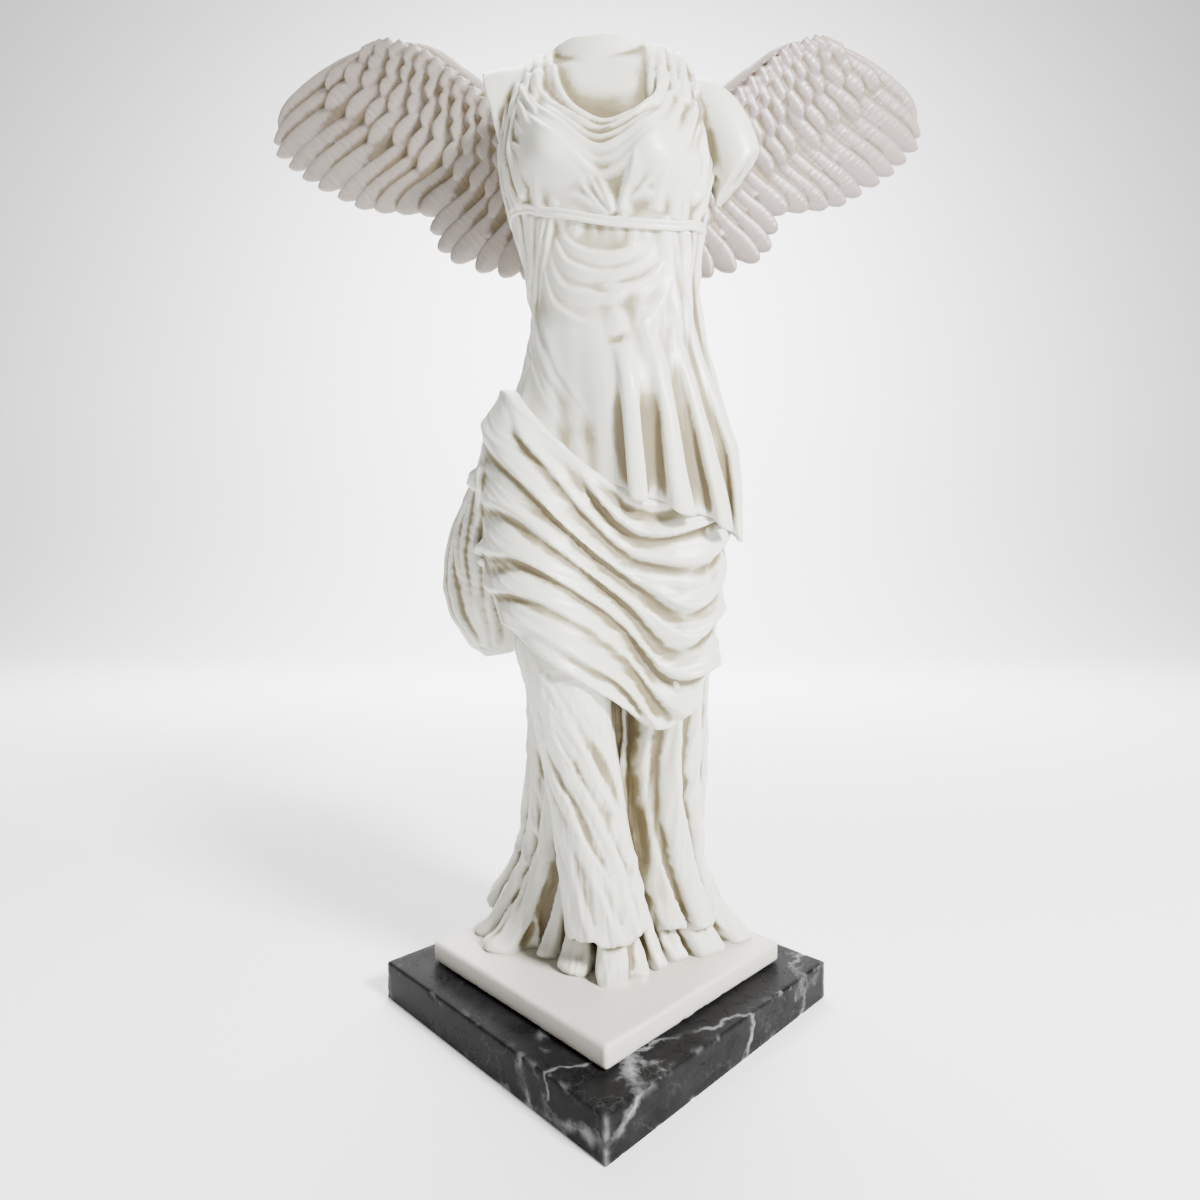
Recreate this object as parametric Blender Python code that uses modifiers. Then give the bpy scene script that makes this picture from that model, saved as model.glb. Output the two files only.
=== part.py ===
"""A winged classical statuette, cast in pale marble, on a base of black marble.

The figure has lost its head and arms. It faces -Y, with a corner of its square slab pointing forward.
Lengths are in millimetres and become metres where a mesh is made. A guide along the figure is a list of
angles and heights: angles run round AXIS in degrees, with 0 at the front, 90 at +X and 180 at the back.
"""

import math
import random
from typing import NamedTuple

import bmesh
import bpy
import numpy as np
from mathutils import Vector
from mathutils.bvhtree import BVHTree

METRES = 0.001

# Driving dimensions
BASE_SIDE = 120.0
BASE_HEIGHT = 14.0
BASE_BEVEL = 0.6
SLAB_SIDE = 95.0
SLAB_HEIGHT = 8.0
SLAB_BEVEL = 1.4
GAP = 0.3
SLAB_FOOT = BASE_HEIGHT + GAP
SLAB_TOP = SLAB_FOOT + SLAB_HEIGHT
SUNK = 4.0
DIAGONAL_TURN = math.radians(45)

# The upright line that angles round the body are measured from, and a distance clear of the body
AXIS = (1.0, 4.0)
CLEAR = 75.0
FRONT = (0.0, -1.0, 0.0)

# How finely the cast is made
VOXEL = 1.5
STATUE_TRIANGLES = 9300
SEED = 4

# The bare figure, as rows of a loft: x, y, z, half width, depth in front, depth behind
TORSO = [
    (2.0, 3.0, 192.0, 42.0, 25.0, 30.0),
    (2.0, 2.0, 212.0, 42.5, 26.0, 31.0),
    (3.0, 1.0, 228.0, 38.0, 25.0, 27.0),
    (3.5, 0.0, 246.0, 32.5, 23.0, 22.0),
    (3.5, 0.0, 264.0, 30.0, 21.0, 19.0),
    (2.5, 0.0, 282.0, 31.5, 21.5, 20.0),
    (1.5, 0.0, 298.0, 35.0, 22.0, 23.0),
    (0.5, 1.0, 314.0, 38.0, 22.0, 26.0),
    (-0.5, 2.0, 330.0, 39.0, 20.0, 25.0),
    (-1.5, 3.0, 343.0, 38.0, 17.0, 20.0),
    (-2.0, 4.0, 352.0, 34.0, 14.0, 16.0),
    (-2.5, 4.0, 360.0, 27.0, 10.0, 12.0),
]
NECK = [
    (-2.0, 4.0, 344.0, 24.0, 17.0, 15.0),
    (-2.5, 4.0, 357.0, 20.5, 14.0, 14.0),
    (-3.0, 3.0, 366.0, 18.5, 12.5, 13.0),
]
LEFT_ARM = [
    (27.0, 4.0, 345.0, 13.0, 13.0, 13.0),
    (41.0, 3.0, 341.0, 13.5, 13.0, 13.0),
    (50.0, 2.0, 329.0, 12.0, 12.0, 12.0),
    (55.0, 2.0, 313.0, 10.0, 11.0, 11.0),
]
RIGHT_ARM = [
    (-26.0, 4.0, 346.0, 12.0, 12.0, 12.0),
    (-37.0, 4.0, 345.0, 13.0, 13.0, 13.0),
    (-45.0, 4.0, 343.0, 13.5, 13.0, 13.0),
]
RIGHT_LEG = [
    (-19.0, 0.0, 212.0, 22.0, 22.0, 22.0),
    (-20.0, -8.0, 180.0, 20.0, 20.0, 21.0),
    (-18.0, -18.0, 150.0, 16.5, 17.0, 19.0),
    (-13.5, -27.0, 126.0, 13.5, 14.5, 15.0),
    (-9.0, -21.0, 98.0, 12.5, 11.0, 15.0),
    (-3.5, -20.0, 66.0, 12.0, 10.0, 13.0),
    (0.5, -21.0, 37.0, 11.0, 9.0, 10.0),
]
LEFT_LEG = [
    (23.0, 2.0, 212.0, 22.0, 23.0, 23.0),
    (24.0, 0.0, 180.0, 20.0, 22.0, 22.0),
    (23.0, -2.0, 150.0, 17.0, 19.0, 19.0),
    (22.0, -4.0, 124.0, 14.0, 16.0, 15.0),
    (21.0, -1.0, 96.0, 13.5, 13.5, 15.0),
    (20.0, 1.0, 66.0, 12.0, 12.0, 13.0),
    (19.0, 1.0, 34.0, 11.0, 13.0, 13.0),
]
SKIRT = [
    (3.0, 9.0, 21.0, 37.0, 19.0, 32.0),
    (2.0, 10.0, 34.0, 33.0, 19.0, 31.0),
    (1.0, 10.0, 52.0, 29.5, 17.0, 29.0),
    (0.0, 9.0, 76.0, 27.0, 14.0, 26.5),
    (0.0, 6.0, 104.0, 27.5, 13.0, 25.0),
    (0.0, 4.0, 134.0, 31.0, 15.0, 25.5),
    (1.0, 3.0, 164.0, 36.0, 20.0, 28.0),
    (1.0, 3.0, 194.0, 41.0, 25.0, 31.0),
    (2.0, 3.0, 214.0, 42.0, 25.0, 31.0),
]
STRUT = [
    (2.4, -30.0, 20.0, 5.4, 5.5, 6.0),
    (2.4, -28.0, 32.0, 5.0, 5.0, 6.0),
    (1.5, -24.0, 44.0, 5.0, 5.0, 6.0),
]

# Swellings of the torso: x, z, whether in front, rise, half width, reach above, reach below
SWELLINGS = [
    (-18.0, 310.0, True, 12.0, 13.5, 16.0, 10.0),
    (19.5, 309.0, True, 12.5, 13.5, 16.0, 10.0),
    (3.0, 230.0, True, 5.0, 19.0, 18.0, 14.0),
    (-18.0, 207.0, False, 8.0, 15.0, 14.0, 14.0),
    (21.0, 207.0, False, 8.0, 15.0, 14.0, 14.0),
    (-17.0, 330.0, False, 4.0, 12.0, 14.0, 14.0),
    (17.0, 330.0, False, 4.0, 12.0, 14.0, 14.0),
]

# The chest turns to its right and leans to its left, from the waist up
CHEST_TURN = -6.0
CHEST_TILT = 0.05
WAIST = 235.0
CHEST = 330.0

# Cloths as their top and bottom edges: angle, height, lift off the surface
BODICE_TOP = [
    (-180, 352, 1), (-90, 350, 1), (-62, 350, 1), (-44, 339, 1.5), (-24, 327, 1.8), (0, 321, 2),
    (24, 326, 1.8), (44, 337, 1.5), (62, 347, 1), (90, 346, 1), (180, 352, 1),
]
BODICE_BOTTOM = [(-180, 288, 1), (-60, 290, 1), (60, 285, 1), (180, 288, 1)]
BELT_TOP = [(-180, 290, 2), (-60, 292, 2), (60, 286, 2), (180, 290, 2)]
BELT_WIDTH = 4.0
OVERFOLD_TOP = [(-180, 274, -1.5), (-60, 266, -1.5), (60, 266, -1.5), (180, 274, -1.5)]
OVERFOLD_HEM = [
    (-180, 210, 3), (-96, 206, 3), (-66, 206, 3), (-40, 203, 3), (-14, 200, 4), (10, 197, 6),
    (34, 190, 8), (58, 184, 9), (82, 183, 10), (104, 190, 9), (130, 204, 5), (180, 210, 3),
]
MANTLE_TOP = [(-106, 208, 1.5), (-40, 200, 1.5), (20, 197, 1.5), (106, 205, 1.5)]
MANTLE_HEM = [
    (-106, 176, 3), (-76, 166, 3), (-46, 148, 3), (-14, 130, 3.5), (16, 114, 4), (40, 110, 4),
    (60, 128, 3.5), (82, 160, 3), (106, 178, 3),
]

# Shoulder straps: distance from the middle, drift outwards over the shoulder, radius
STRAPS = [(22.5, -0.05, 1.6), (26.0, 0.0, 2.0), (29.5, 0.08, 1.7), (33.0, 0.16, 2.0)]

# Open pleats of the overfold at the left hip: angle and height of the foot, size there
HEM_PLEATS = [
    (16, 200, 3.0), (28, 192, 4.2), (41, 189, 5.0), (55, 185, 5.2), (70, 184, 5.8), (86, 186, 5.6),
    (101, 191, 5.0),
]

# Rolls of the mantle: angle, height, radius
MANTLE_ROLLS = [
    [(-180, 206, 4.0), (-130, 209, 5.0), (-96, 212, 6.4), (-72, 209, 5.6), (-40, 203, 4.4),
     (-8, 198, 3.6), (22, 197, 3.6), (52, 202, 4.6), (82, 208, 5.8), (120, 208, 5.0), (180, 206, 4.0)],
    [(-180, 199, 4.0), (-120, 202, 5.0), (-92, 203, 6.2), (-62, 199, 5.2), (-28, 189, 4.0),
     (4, 182, 3.4), (34, 185, 3.8), (62, 195, 4.8), (90, 200, 6.0), (130, 201, 5.0), (180, 199, 4.0)],
    [(-120, 196, 4.0), (-92, 194, 6.2), (-64, 187, 5.4), (-34, 172, 4.2), (-4, 160, 3.6),
     (24, 158, 3.4), (50, 170, 4.0), (74, 186, 5.2), (96, 193, 5.6), (120, 196, 4.0)],
    [(-84, 216, 2.5), (-62, 211, 3.8), (-36, 200, 4.2), (-8, 184, 4.0), (18, 168, 3.6),
     (40, 150, 2.8), (52, 138, 1.5)],
    [(92, 214, 2.5), (66, 210, 3.6), (38, 200, 3.6), (12, 192, 3.0), (-12, 189, 1.4)],
    [(-96, 186, 4.0), (-76, 178, 4.8), (-50, 160, 4.2), (-22, 141, 3.6), (8, 128, 3.2),
     (30, 124, 2.4), (46, 132, 1.2)],
]

# The mantle's free end at the right hip: short falls (angle and height of the foot, size there), then the
# lobe blown back behind them, as rows of a loft, and the ridges on the lobe, as points
FALLS = [
    (-60, 158, 3.0), (-67, 148, 3.8), (-75, 136, 4.4), (-84, 126, 4.6), (-94, 130, 4.6), (-104, 140, 4.6),
]
LOBE = [
    (-42.0, 16.0, 204.0, 8.0, 5.0, 6.0),
    (-47.0, 20.0, 190.0, 12.0, 5.0, 7.0),
    (-50.0, 23.0, 172.0, 14.0, 5.0, 8.0),
    (-50.0, 25.0, 156.0, 13.5, 5.0, 8.0),
    (-47.0, 26.0, 142.0, 11.0, 4.0, 7.0),
    (-43.0, 27.0, 131.0, 6.0, 3.0, 5.0),
]
LOBE_FRONT = (-0.5, -0.85, 0.0)
LOBE_RIDGES = [
    [(-45, 12, 204), (-60, 18, 184), (-66, 24, 166), (-64, 28, 154)],
    [(-44, 10, 200), (-55, 12, 176), (-63, 18, 158), (-61, 23, 146)],
    [(-42, 9, 198), (-49, 9, 174), (-56, 14, 152), (-55, 22, 136)],
    [(-41, 9, 196), (-44, 9, 172), (-49, 14, 150), (-48, 22, 131)],
]
RIDGE_RADII = (3.0, 3.6, 3.8, 1.6)

# Long folds of the skirt: angle and height of the top, three angles further down, size at the foot, and
# how far the foot spreads over the slab
SKIRT_FOLDS = [
    (8, 122, 12, 16, 20, 6.0, 20.0), (17, 115, 19, 27, 32, 4.8, 11.0), (24, 115, 27, 36, 44, 7.0, 8.0),
    (34, 116, 38, 47, 56, 4.8, 6.0), (44, 121, 50, 60, 68, 7.0, 8.0), (52, 156, 62, 74, 83, 5.0, 8.0),
    (62, 176, 74, 88, 97, 8.0, 13.0), (80, 182, 92, 104, 112, 5.4, 8.0), (97, 182, 110, 119, 126, 8.2, 4.0),
    (117, 182, 128, 135, 141, 6.0, 3.0), (136, 182, 143, 149, 154, 8.0, 4.0),
    (154, 182, 159, 163, 166, 5.8, 3.0), (172, 182, 174, 177, 180, 8.2, 4.0),
    (-170, 182, -169, -168, -167, 6.0, 3.0),
    (-152, 182, -154, -155, -156, 8.0, 4.0), (-134, 182, -140, -143, -146, 6.0, 3.0),
    (-116, 182, -126, -131, -136, 8.2, 5.0), (-98, 178, -108, -114, -120, 5.4, 8.0),
    (-80, 168, -92, -98, -103, 8.4, 16.0), (-70, 158, -82, -86, -90, 5.4, 14.0),
    (-62, 148, -72, -70, -72, 7.6, 10.0), (-56, 142, -60, -54, -52, 5.0, 6.0),
    (-48, 124, -48, -38, -27, 6.4, 12.0),
]
SKIRT_LEVELS = (96.0, 58.0, 36.0, 23.0)
SHIN_FOLDS = (-26, -17, -9, 0, 9)

# A wing, as distances out from the middle of the body and heights: its arm, the curve that its feathers
# lean towards, and their tips
WING_ARM = [(14.0, 322.0), (28.0, 343.0), (46.0, 362.0), (64.0, 380.0), (80.0, 394.0), (98.0, 401.0)]
WING_LEAN = [(22.0, 312.0), (36.0, 320.0), (54.0, 336.0), (76.0, 352.0), (100.0, 374.0), (130.0, 403.0)]
WING_TIPS = [
    (34.0, 288.0), (50.0, 293.0), (66.0, 301.0), (75.0, 311.0), (80.0, 326.0), (96.0, 331.0), (112.0, 336.0),
    (126.0, 345.0), (140.0, 355.0), (152.0, 366.0), (160.0, 376.0), (157.0, 386.0),
]
WING_ARM_RADII = (10.0, 9.0, 8.0, 7.0, 6.0, 4.5)
WING_START = 22.0
FLIGHT_FEATHERS = 13
FEATHER_TILT = 0.14

# How far each wing reaches beyond its wrist, against the shared outline
WRIST = 60.0
WING_REACH = {-1: 1.03, 1: 0.92}

# Rows of feathers over the flight feathers: offset along the wing, start and end as shares of the way to
# the wing's edge, half width, thickness, lift off the wing's sheet
COVERTS = [
    (0.5, 0.20, 0.72, 5.6, 2.6, 2.4),
    (0.0, 0.12, 0.52, 5.0, 2.8, 4.4),
    (0.5, 0.06, 0.34, 4.6, 3.0, 6.0),
    (0.0, 0.02, 0.18, 4.2, 3.2, 7.2),
]


def smooth_rows(rows, count):
    """`count` rows on a Catmull-Rom curve through the rows given."""
    rows = np.asarray(rows, float)
    padded = np.vstack([2 * rows[0] - rows[1], rows, 2 * rows[-1] - rows[-2]])
    place = np.linspace(0, len(rows) - 1, count)
    index = np.minimum(place.astype(int), len(rows) - 2)
    t = (place - index)[:, None]
    a, b, c, d = (padded[index + i] for i in range(4))
    return 0.5 * (2 * b + (c - a) * t + (2 * a - 5 * b + 4 * c - d) * t**2 + (3 * b - a - 3 * c + d) * t**3)


def quadratic(a, b, c, t):
    """A point on the curve from a to c that leans towards b."""
    return a * (1 - t) ** 2 + 2 * b * t * (1 - t) + c * t**2


def smooth_step(value):
    """The value held between 0 and 1, with eased ends."""
    held = np.clip(value, 0, 1)
    return held * held * (3 - 2 * held)


def unit(vectors):
    """Vectors of length one."""
    vectors = np.asarray(vectors, float)
    return vectors / np.maximum(np.linalg.norm(vectors, axis=-1, keepdims=True), 1e-9)


def outward(angle):
    """The direction away from the axis at an angle in degrees."""
    turn = math.radians(angle)
    return np.array([math.sin(turn), -math.cos(turn), 0.0])


def loft(rows, front=FRONT, around=20, rings=20, power=2.0):
    """A closed body through rows of centre, half width and the depths in front and behind."""
    line = smooth_rows(rows, rings)
    centre, half, fore, aft = line[:, :3], line[:, 3:4], line[:, 4:5], line[:, 5:6]
    along = unit(np.gradient(centre, axis=0))
    ahead = np.broadcast_to(np.asarray(front, float), centre.shape)
    ahead = unit(ahead - (ahead * along).sum(1, keepdims=True) * along)
    side = np.cross(along, ahead)
    angle = np.linspace(0, 2 * math.pi, around, endpoint=False)
    sine = np.sign(np.sin(angle)) * np.abs(np.sin(angle)) ** (2 / power)
    cosine = np.sign(np.cos(angle)) * np.abs(np.cos(angle)) ** (2 / power)
    depth = np.where(cosine > 0, fore * cosine, aft * cosine)
    skin = centre[:, None] + side[:, None] * (half * sine)[..., None] + ahead[:, None] * depth[..., None]
    points = np.vstack([skin.reshape(-1, 3), centre[0], centre[-1]])
    ring, step = np.meshgrid(np.arange(rings - 1), np.arange(around), indexing="ij")
    ahead_step = (step + 1) % around
    corners = (ring * around + step, ring * around + ahead_step)
    quads = np.stack([*corners, corners[1] + around, corners[0] + around], -1).reshape(-1, 4)
    first, last = rings * around, rings * around + 1
    top = (rings - 1) * around
    fans = [(first, (i + 1) % around, i) for i in range(around)]
    fans += [(last, top + i, top + (i + 1) % around) for i in range(around)]
    return points, [tuple(q) for q in quads.tolist()] + fans


def shell(outer, inner, across, down):
    """A closed body between an outer and an inner grid of points."""
    count = across * down
    faces = []
    for j in range(down - 1):
        for i in range(across - 1):
            a = j * across + i
            quad = (a, a + 1, a + across + 1, a + across)
            faces.append(quad)
            faces.append(tuple(count + k for k in reversed(quad)))
    rim = list(range(across))
    rim += [j * across + across - 1 for j in range(1, down)]
    rim += [(down - 1) * across + i for i in range(across - 2, -1, -1)]
    rim += [j * across for j in range(down - 2, 0, -1)]
    for a, b in zip(rim, rim[1:] + rim[:1]):
        faces.append((b, a, count + a, count + b))
    return np.array([tuple(p) for p in [*outer, *inner]]), faces


def joined(bodies):
    """Several bodies as one list of points and faces."""
    points, faces, start = [], [], 0
    for body_points, body_faces in bodies:
        points.append(body_points)
        faces += [tuple(i + start for i in face) for face in body_faces]
        start += len(body_points)
    return np.vstack(points), faces


class Skin:
    """A body's outer surface, found by looking at it from all round."""

    def __init__(self, points, faces):
        self.tree = BVHTree.FromPolygons([Vector(p) for p in points], faces)

    def at(self, angle, height):
        """The point and normal of the surface at an angle round the axis and a height."""
        away = Vector(outward(angle))
        axis = Vector((*AXIS, height))
        hit, normal, _, _ = self.tree.ray_cast(axis + away * CLEAR, -away)
        if hit is None:
            return axis, away
        return hit, (normal if normal.dot(away) > 0 else -normal)

    def line(self, guide, count):
        """Points on the surface along a smooth guide."""
        return np.array([tuple(self.at(angle, height)[0]) for angle, height in smooth_rows(guide, count)])

    def over_shoulder(self, x, drift, turn):
        """The point of the surface at a turn about a line through the shoulders, 0 being straight up."""
        away = Vector((drift * abs(math.sin(turn)), math.sin(turn), math.cos(turn)))
        centre = Vector((x, AXIS[1], CHEST))
        hit, _, _, _ = self.tree.ray_cast(centre + away * CLEAR, -away)
        return hit


class Fold(NamedTuple):
    """A ridge of cloth, or a crease where its height is below 0, that fades at its two ends."""

    guide: list
    width: float
    height: float
    fade_in: float = 0.15
    fade_out: float = 0.3
    sharp: float = 1.3


def bundle(first, last, count, width, height, fade_in=0.05, fade_out=0.5, shortest=10):
    """Folds side by side, from the first guide to the last, no two quite alike."""
    first, last = np.asarray(first, float), np.asarray(last, float)
    steps = 12
    made = []
    for k in range(count):
        share = k / max(count - 1, 1)
        guide = first * (1 - share) + last * share
        guide += np.array([[random.uniform(-1.6, 1.6), random.uniform(-1.2, 1.2)] for _ in guide])
        guide = smooth_rows(guide, steps)[: random.randint(shortest, steps)]
        size = random.uniform(0.75, 1.15)
        rise = size * random.uniform(0.8, 1.1)
        made.append(Fold(guide, width * size, height * rise, fade_in, fade_out))
    return made


def mirrored(guide):
    """The guide on the other side of the body."""
    return [(-angle, height) for angle, height in guide]


def raise_folds(points, normals, folds, skin):
    """The points moved along their normals by the highest ridge over each, and by the deepest crease."""
    rise = np.zeros(len(points))
    crease = np.zeros(len(points))
    chunk = 4000
    for fold in folds:
        rough = skin.line(fold.guide, 12)
        length = np.linalg.norm(np.diff(rough, axis=0), axis=1).sum()
        path = skin.line(fold.guide, int(np.clip(length, 8, 160)))
        share = np.linspace(0, 1, len(path))
        fade = smooth_step(share / fold.fade_in) * smooth_step((1 - share) / fold.fade_out)
        size = fold.width * (0.45 + 0.55 * fade)
        near = np.all((points > path.min(0) - fold.width) & (points < path.max(0) + fold.width), axis=1)
        index = np.nonzero(near)[0]
        target = rise if fold.height > 0 else crease
        for start in range(0, len(index), chunk):
            some = index[start:start + chunk]
            away = np.linalg.norm(points[some][:, None] - path[None], axis=2) / size
            bump = np.clip(1 - away, 0, 1) ** fold.sharp * (abs(fold.height) * fade)
            target[some] = np.maximum(target[some], bump.max(1))
    return points + normals * (rise - crease)[:, None]


def swollen(points):
    """The torso's points, pushed out by its swellings."""
    points = points.copy()
    for x, z, ahead, rise, half, above, below in SWELLINGS:
        across = (points[:, 0] - x) / half
        up = points[:, 2] - z
        up = up / np.where(up > 0, above, below)
        facing = points[:, 1] < AXIS[1] if ahead else points[:, 1] > AXIS[1]
        push = rise * np.exp(-(across**2 + up**2)) * facing
        points[:, 1] += -push if ahead else push
    return points


def posed(points):
    """The bare upper body's points, with the chest turned and one shoulder lower than the other."""
    share = smooth_step((points[:, 2] - WAIST) / (CHEST - WAIST))
    turn = np.radians(CHEST_TURN) * share
    x, y = points[:, 0] - AXIS[0], points[:, 1] - AXIS[1]
    moved = points.copy()
    moved[:, 0] = AXIS[0] + x * np.cos(turn) - y * np.sin(turn)
    moved[:, 1] = AXIS[1] + x * np.sin(turn) + y * np.cos(turn)
    moved[:, 2] -= CHEST_TILT * x * share
    return moved


def bare_bodies():
    """The figure under its clothes, as overlapping bodies, the torso first."""
    torso, torso_faces = loft(TORSO, around=64, rings=64, power=2.2)
    upper = [
        (swollen(torso), torso_faces),
        loft(NECK, around=24, rings=8),
        loft(LEFT_ARM, around=20, rings=12),
        loft(RIGHT_ARM, around=20, rings=8),
    ]
    lower = [
        loft(RIGHT_LEG, around=24, rings=30),
        loft(LEFT_LEG, around=24, rings=30),
        loft(SKIRT, around=48, rings=40, power=2.1),
        loft(STRUT, around=12, rings=6, power=3.0),
    ]
    return [(posed(points), faces) for points, faces in upper] + lower


def wrap(skin, top, bottom, across=60, down=16, pleats=None, scallop=0.0):
    """A cloth laid on the surface between two edges, with pleats that deepen towards its foot."""
    sink = 4.0
    upper, lower = smooth_rows(top, across), smooth_rows(bottom, across)
    outer, inner = [], []
    for j in range(down):
        share = j / (down - 1)
        for i in range(across):
            wave = pleats(i / (across - 1)) if pleats else 0.0
            angle, height, lift = upper[i] * (1 - share) + lower[i] * share
            hit, normal = skin.at(angle, height - scallop * wave * share)
            away = (normal + Vector(outward(angle)) * 1.5).normalized()
            outer.append(hit + away * (lift + wave * share))
            inner.append(hit - away * sink)
    return shell(outer, inner, across, down)


def flute(skin, guide, start_size, end_size, start_lift, end_lift, hollow=0.0):
    """One tapering fold of cloth that leaves the surface as it runs along its guide, hollow at its end."""
    count = 24
    rows = []
    for k, (angle, height) in enumerate(smooth_rows(guide, count)):
        share = k / (count - 1)
        hit, _ = skin.at(angle, height)
        size = start_size + (end_size - start_size) * share**0.8
        place = np.array(hit) + outward(angle) * (start_lift + (end_lift - start_lift) * share**1.6)
        rows.append((*place, size, size * 1.1, size))
    points, faces = loft(rows, front=outward(guide[-1][0]), around=16, rings=count)
    points[-1] += unit(points[-2] - points[-1]) * hollow
    return points, faces


def cord(skin, guide):
    """A rounded roll of cloth on the surface, along a guide that carries radii too."""
    count = 90
    rows = []
    for angle, height, radius in smooth_rows(guide, count):
        hit, normal = skin.at(angle, height)
        rows.append((*(hit + normal * radius * 0.35), radius, radius, radius))
    middle = rows[count // 2]
    ahead = unit([middle[0] - AXIS[0], middle[1] - AXIS[1], 0.0])
    return loft(rows, front=ahead, around=12, rings=count)


def strap(skin, x, drift, radius):
    """A fold of cloth over a shoulder, from the chest to the back."""
    turns = np.radians(np.linspace(-96, 100, 24))
    hits = [skin.over_shoulder(x, drift, turn) for turn in turns]
    rows = [(*hit, radius, radius, radius) for hit in hits if hit is not None]
    return loft(rows, front=(math.copysign(0.8, x), 0.0, 0.6), around=10, rings=30)


def kept_on_slab(place, width):
    """A point of the hem, drawn in where it would hang over the slab's edge; higher up it may lean out."""
    free = SLAB_SIDE / math.sqrt(2) - 1.5 * width - 1.0 + 0.9 * max(place[2] - SLAB_TOP - 4.0, 0.0)
    reach = abs(place[0]) + abs(place[1])
    scale = min(free / reach, 1.0)
    return place * np.array([scale, scale, 1.0])


def skirt_fold(skin, top, height, upper, lower, foot, size, spread):
    """One long fold of the skirt: it leaves the hips, swings and spreads on its way to the slab."""
    angles = (top, (top + upper) / 2, upper, lower, foot, foot + 0.06 * (foot - upper))
    guide = list(zip(angles, (height, height * 0.82, *SKIRT_LEVELS)))
    count = 26
    swing = random.uniform(-1, 1)
    rows = []
    for k, (angle, level) in enumerate(smooth_rows(guide, count)):
        share = k / (count - 1)
        angle += 2.2 * swing * math.sin(share * 7 + size)
        hit, _ = skin.at(angle, level)
        width = size * (0.3 + 0.7 * share**0.9)
        lift = width * (min(share / 0.3, 1.0) * 1.3 - 0.9) + spread * max(share - 0.35, 0.0) ** 2 / 0.42
        place = kept_on_slab(np.array(hit) + outward(angle) * lift, width)
        rows.append((*place, width * 0.6, width * (1.3 - 0.3 * share), width * 1.6))
    return loft(rows, front=outward(foot), around=12, rings=count, power=1.75)


def overfold_pleats(place):
    """How far the overfold's hem rises in pleats: deep at the sides, almost smooth over the belly."""
    angle = -180 + 360 * place
    beside = min(abs(angle) / 55, 1.0) ** 2
    wave = math.cos(math.radians(angle * 14 + 60 * math.sin(math.radians(angle * 3))))
    return 2.6 * (0.12 + 0.88 * beside) * wave


def upper_clothes(skin, chest):
    """Bodice, belt, shoulder straps and the overfold with its open pleats."""
    belt_foot = [(angle, height - BELT_WIDTH, lift) for angle, height, lift in BELT_TOP]
    layers = [
        wrap(chest, BODICE_TOP, BODICE_BOTTOM, across=110, down=20),
        wrap(chest, BELT_TOP, belt_foot, across=100, down=4),
        wrap(skin, OVERFOLD_TOP, OVERFOLD_HEM, across=200, down=30, pleats=overfold_pleats, scallop=1.3),
    ]
    for x, drift, radius in STRAPS:
        layers += [strap(chest, side * x - 1, side * drift, radius) for side in (-1, 1)]
    for angle, foot, size in HEM_PLEATS:
        guide = [(angle * 0.9, 240), (angle * 0.95, 216), (angle, foot)]
        layers.append(flute(skin, guide, 0.8, size, -1.2, 6.0, hollow=9.0))
    return layers


def mantle(skin):
    """The mantle's apron and rolls, and its free end at the right hip."""
    layers = [wrap(skin, MANTLE_TOP, MANTLE_HEM, across=140, down=30)]
    layers += [cord(skin, guide) for guide in MANTLE_ROLLS]
    for angle, foot, size in FALLS:
        guide = [(angle + 8, 200), (angle + 3, 180), (angle, 152), (angle - 4, foot)]
        layers.append(flute(skin, guide, 2.6, size, 0.5, 2.0, hollow=6.0))
    layers.append(loft(LOBE, front=LOBE_FRONT, around=24, rings=24))
    for path in LOBE_RIDGES:
        rows = [(*place, r, r, r) for place, r in zip(path, RIDGE_RADII)]
        layers.append(loft(rows, front=LOBE_FRONT, around=12, rings=24, power=1.8))
    return layers


def skirt_folds(skin):
    """The skirt's long folds, and the short ones over the shin."""
    layers = [skirt_fold(skin, *row) for row in SKIRT_FOLDS]
    for k, angle in enumerate(SHIN_FOLDS):
        guide = [(angle - 18, 84), (angle - 10, 60), (angle, 37 + 2 * (k % 2))]
        layers.append(flute(skin, guide, 1.0, 3.0, -0.8, 0.4))
    return layers


def wing_depth(out, height):
    """How far back the wing's sheet lies: it sweeps away from the body and cups a little forward."""
    spread = max(out - 15.0, 0.0)
    return WING_START + 0.26 * spread + 0.0008 * spread**2 - 0.0012 * (height - 350.0) ** 2


def wing_curve(place, side):
    """The curve over a wing from its arm to its edge, for a place from the body (0) to the tip (1)."""
    points = [smooth_rows(line, 101)[int(round(place * 100))] for line in (WING_ARM, WING_LEAN, WING_TIPS)]
    for p in points:
        p[0] += max(p[0] - WRIST, 0) * (WING_REACH[side] - 1)
    return lambda share: quadratic(*points, share)


def feather(curve, start, stop, width, thickness, lift, side):
    """One feather along part of a wing's curve, with a rounded tip, `lift` in front of the wing's sheet."""
    steps = 14
    chord = curve(stop) - curve(start)
    across = np.array([-chord[1], chord[0]]) / np.linalg.norm(chord)
    rows = []
    for k in range(steps):
        t = 1 - (1 - k / (steps - 1)) ** 1.7
        out, height = curve(start + (stop - start) * t)
        blade = (0.74 + 0.26 * t) * math.sqrt(max(1 - max(t - 0.8, 0.0) ** 2 / 0.0405, 0.02))
        depth = wing_depth(out, height) - lift * (1 - 0.2 * t)
        rows.append((side * out, depth, height, width * blade, thickness * (0.6 + 0.4 * t), thickness * 0.6))
    facing = -1.0 if lift >= 0 else 1.0
    front = (-across[0] * side * FEATHER_TILT, facing, -across[1] * FEATHER_TILT)
    return loft(rows, front=front, around=12, rings=steps, power=1.9)


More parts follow.
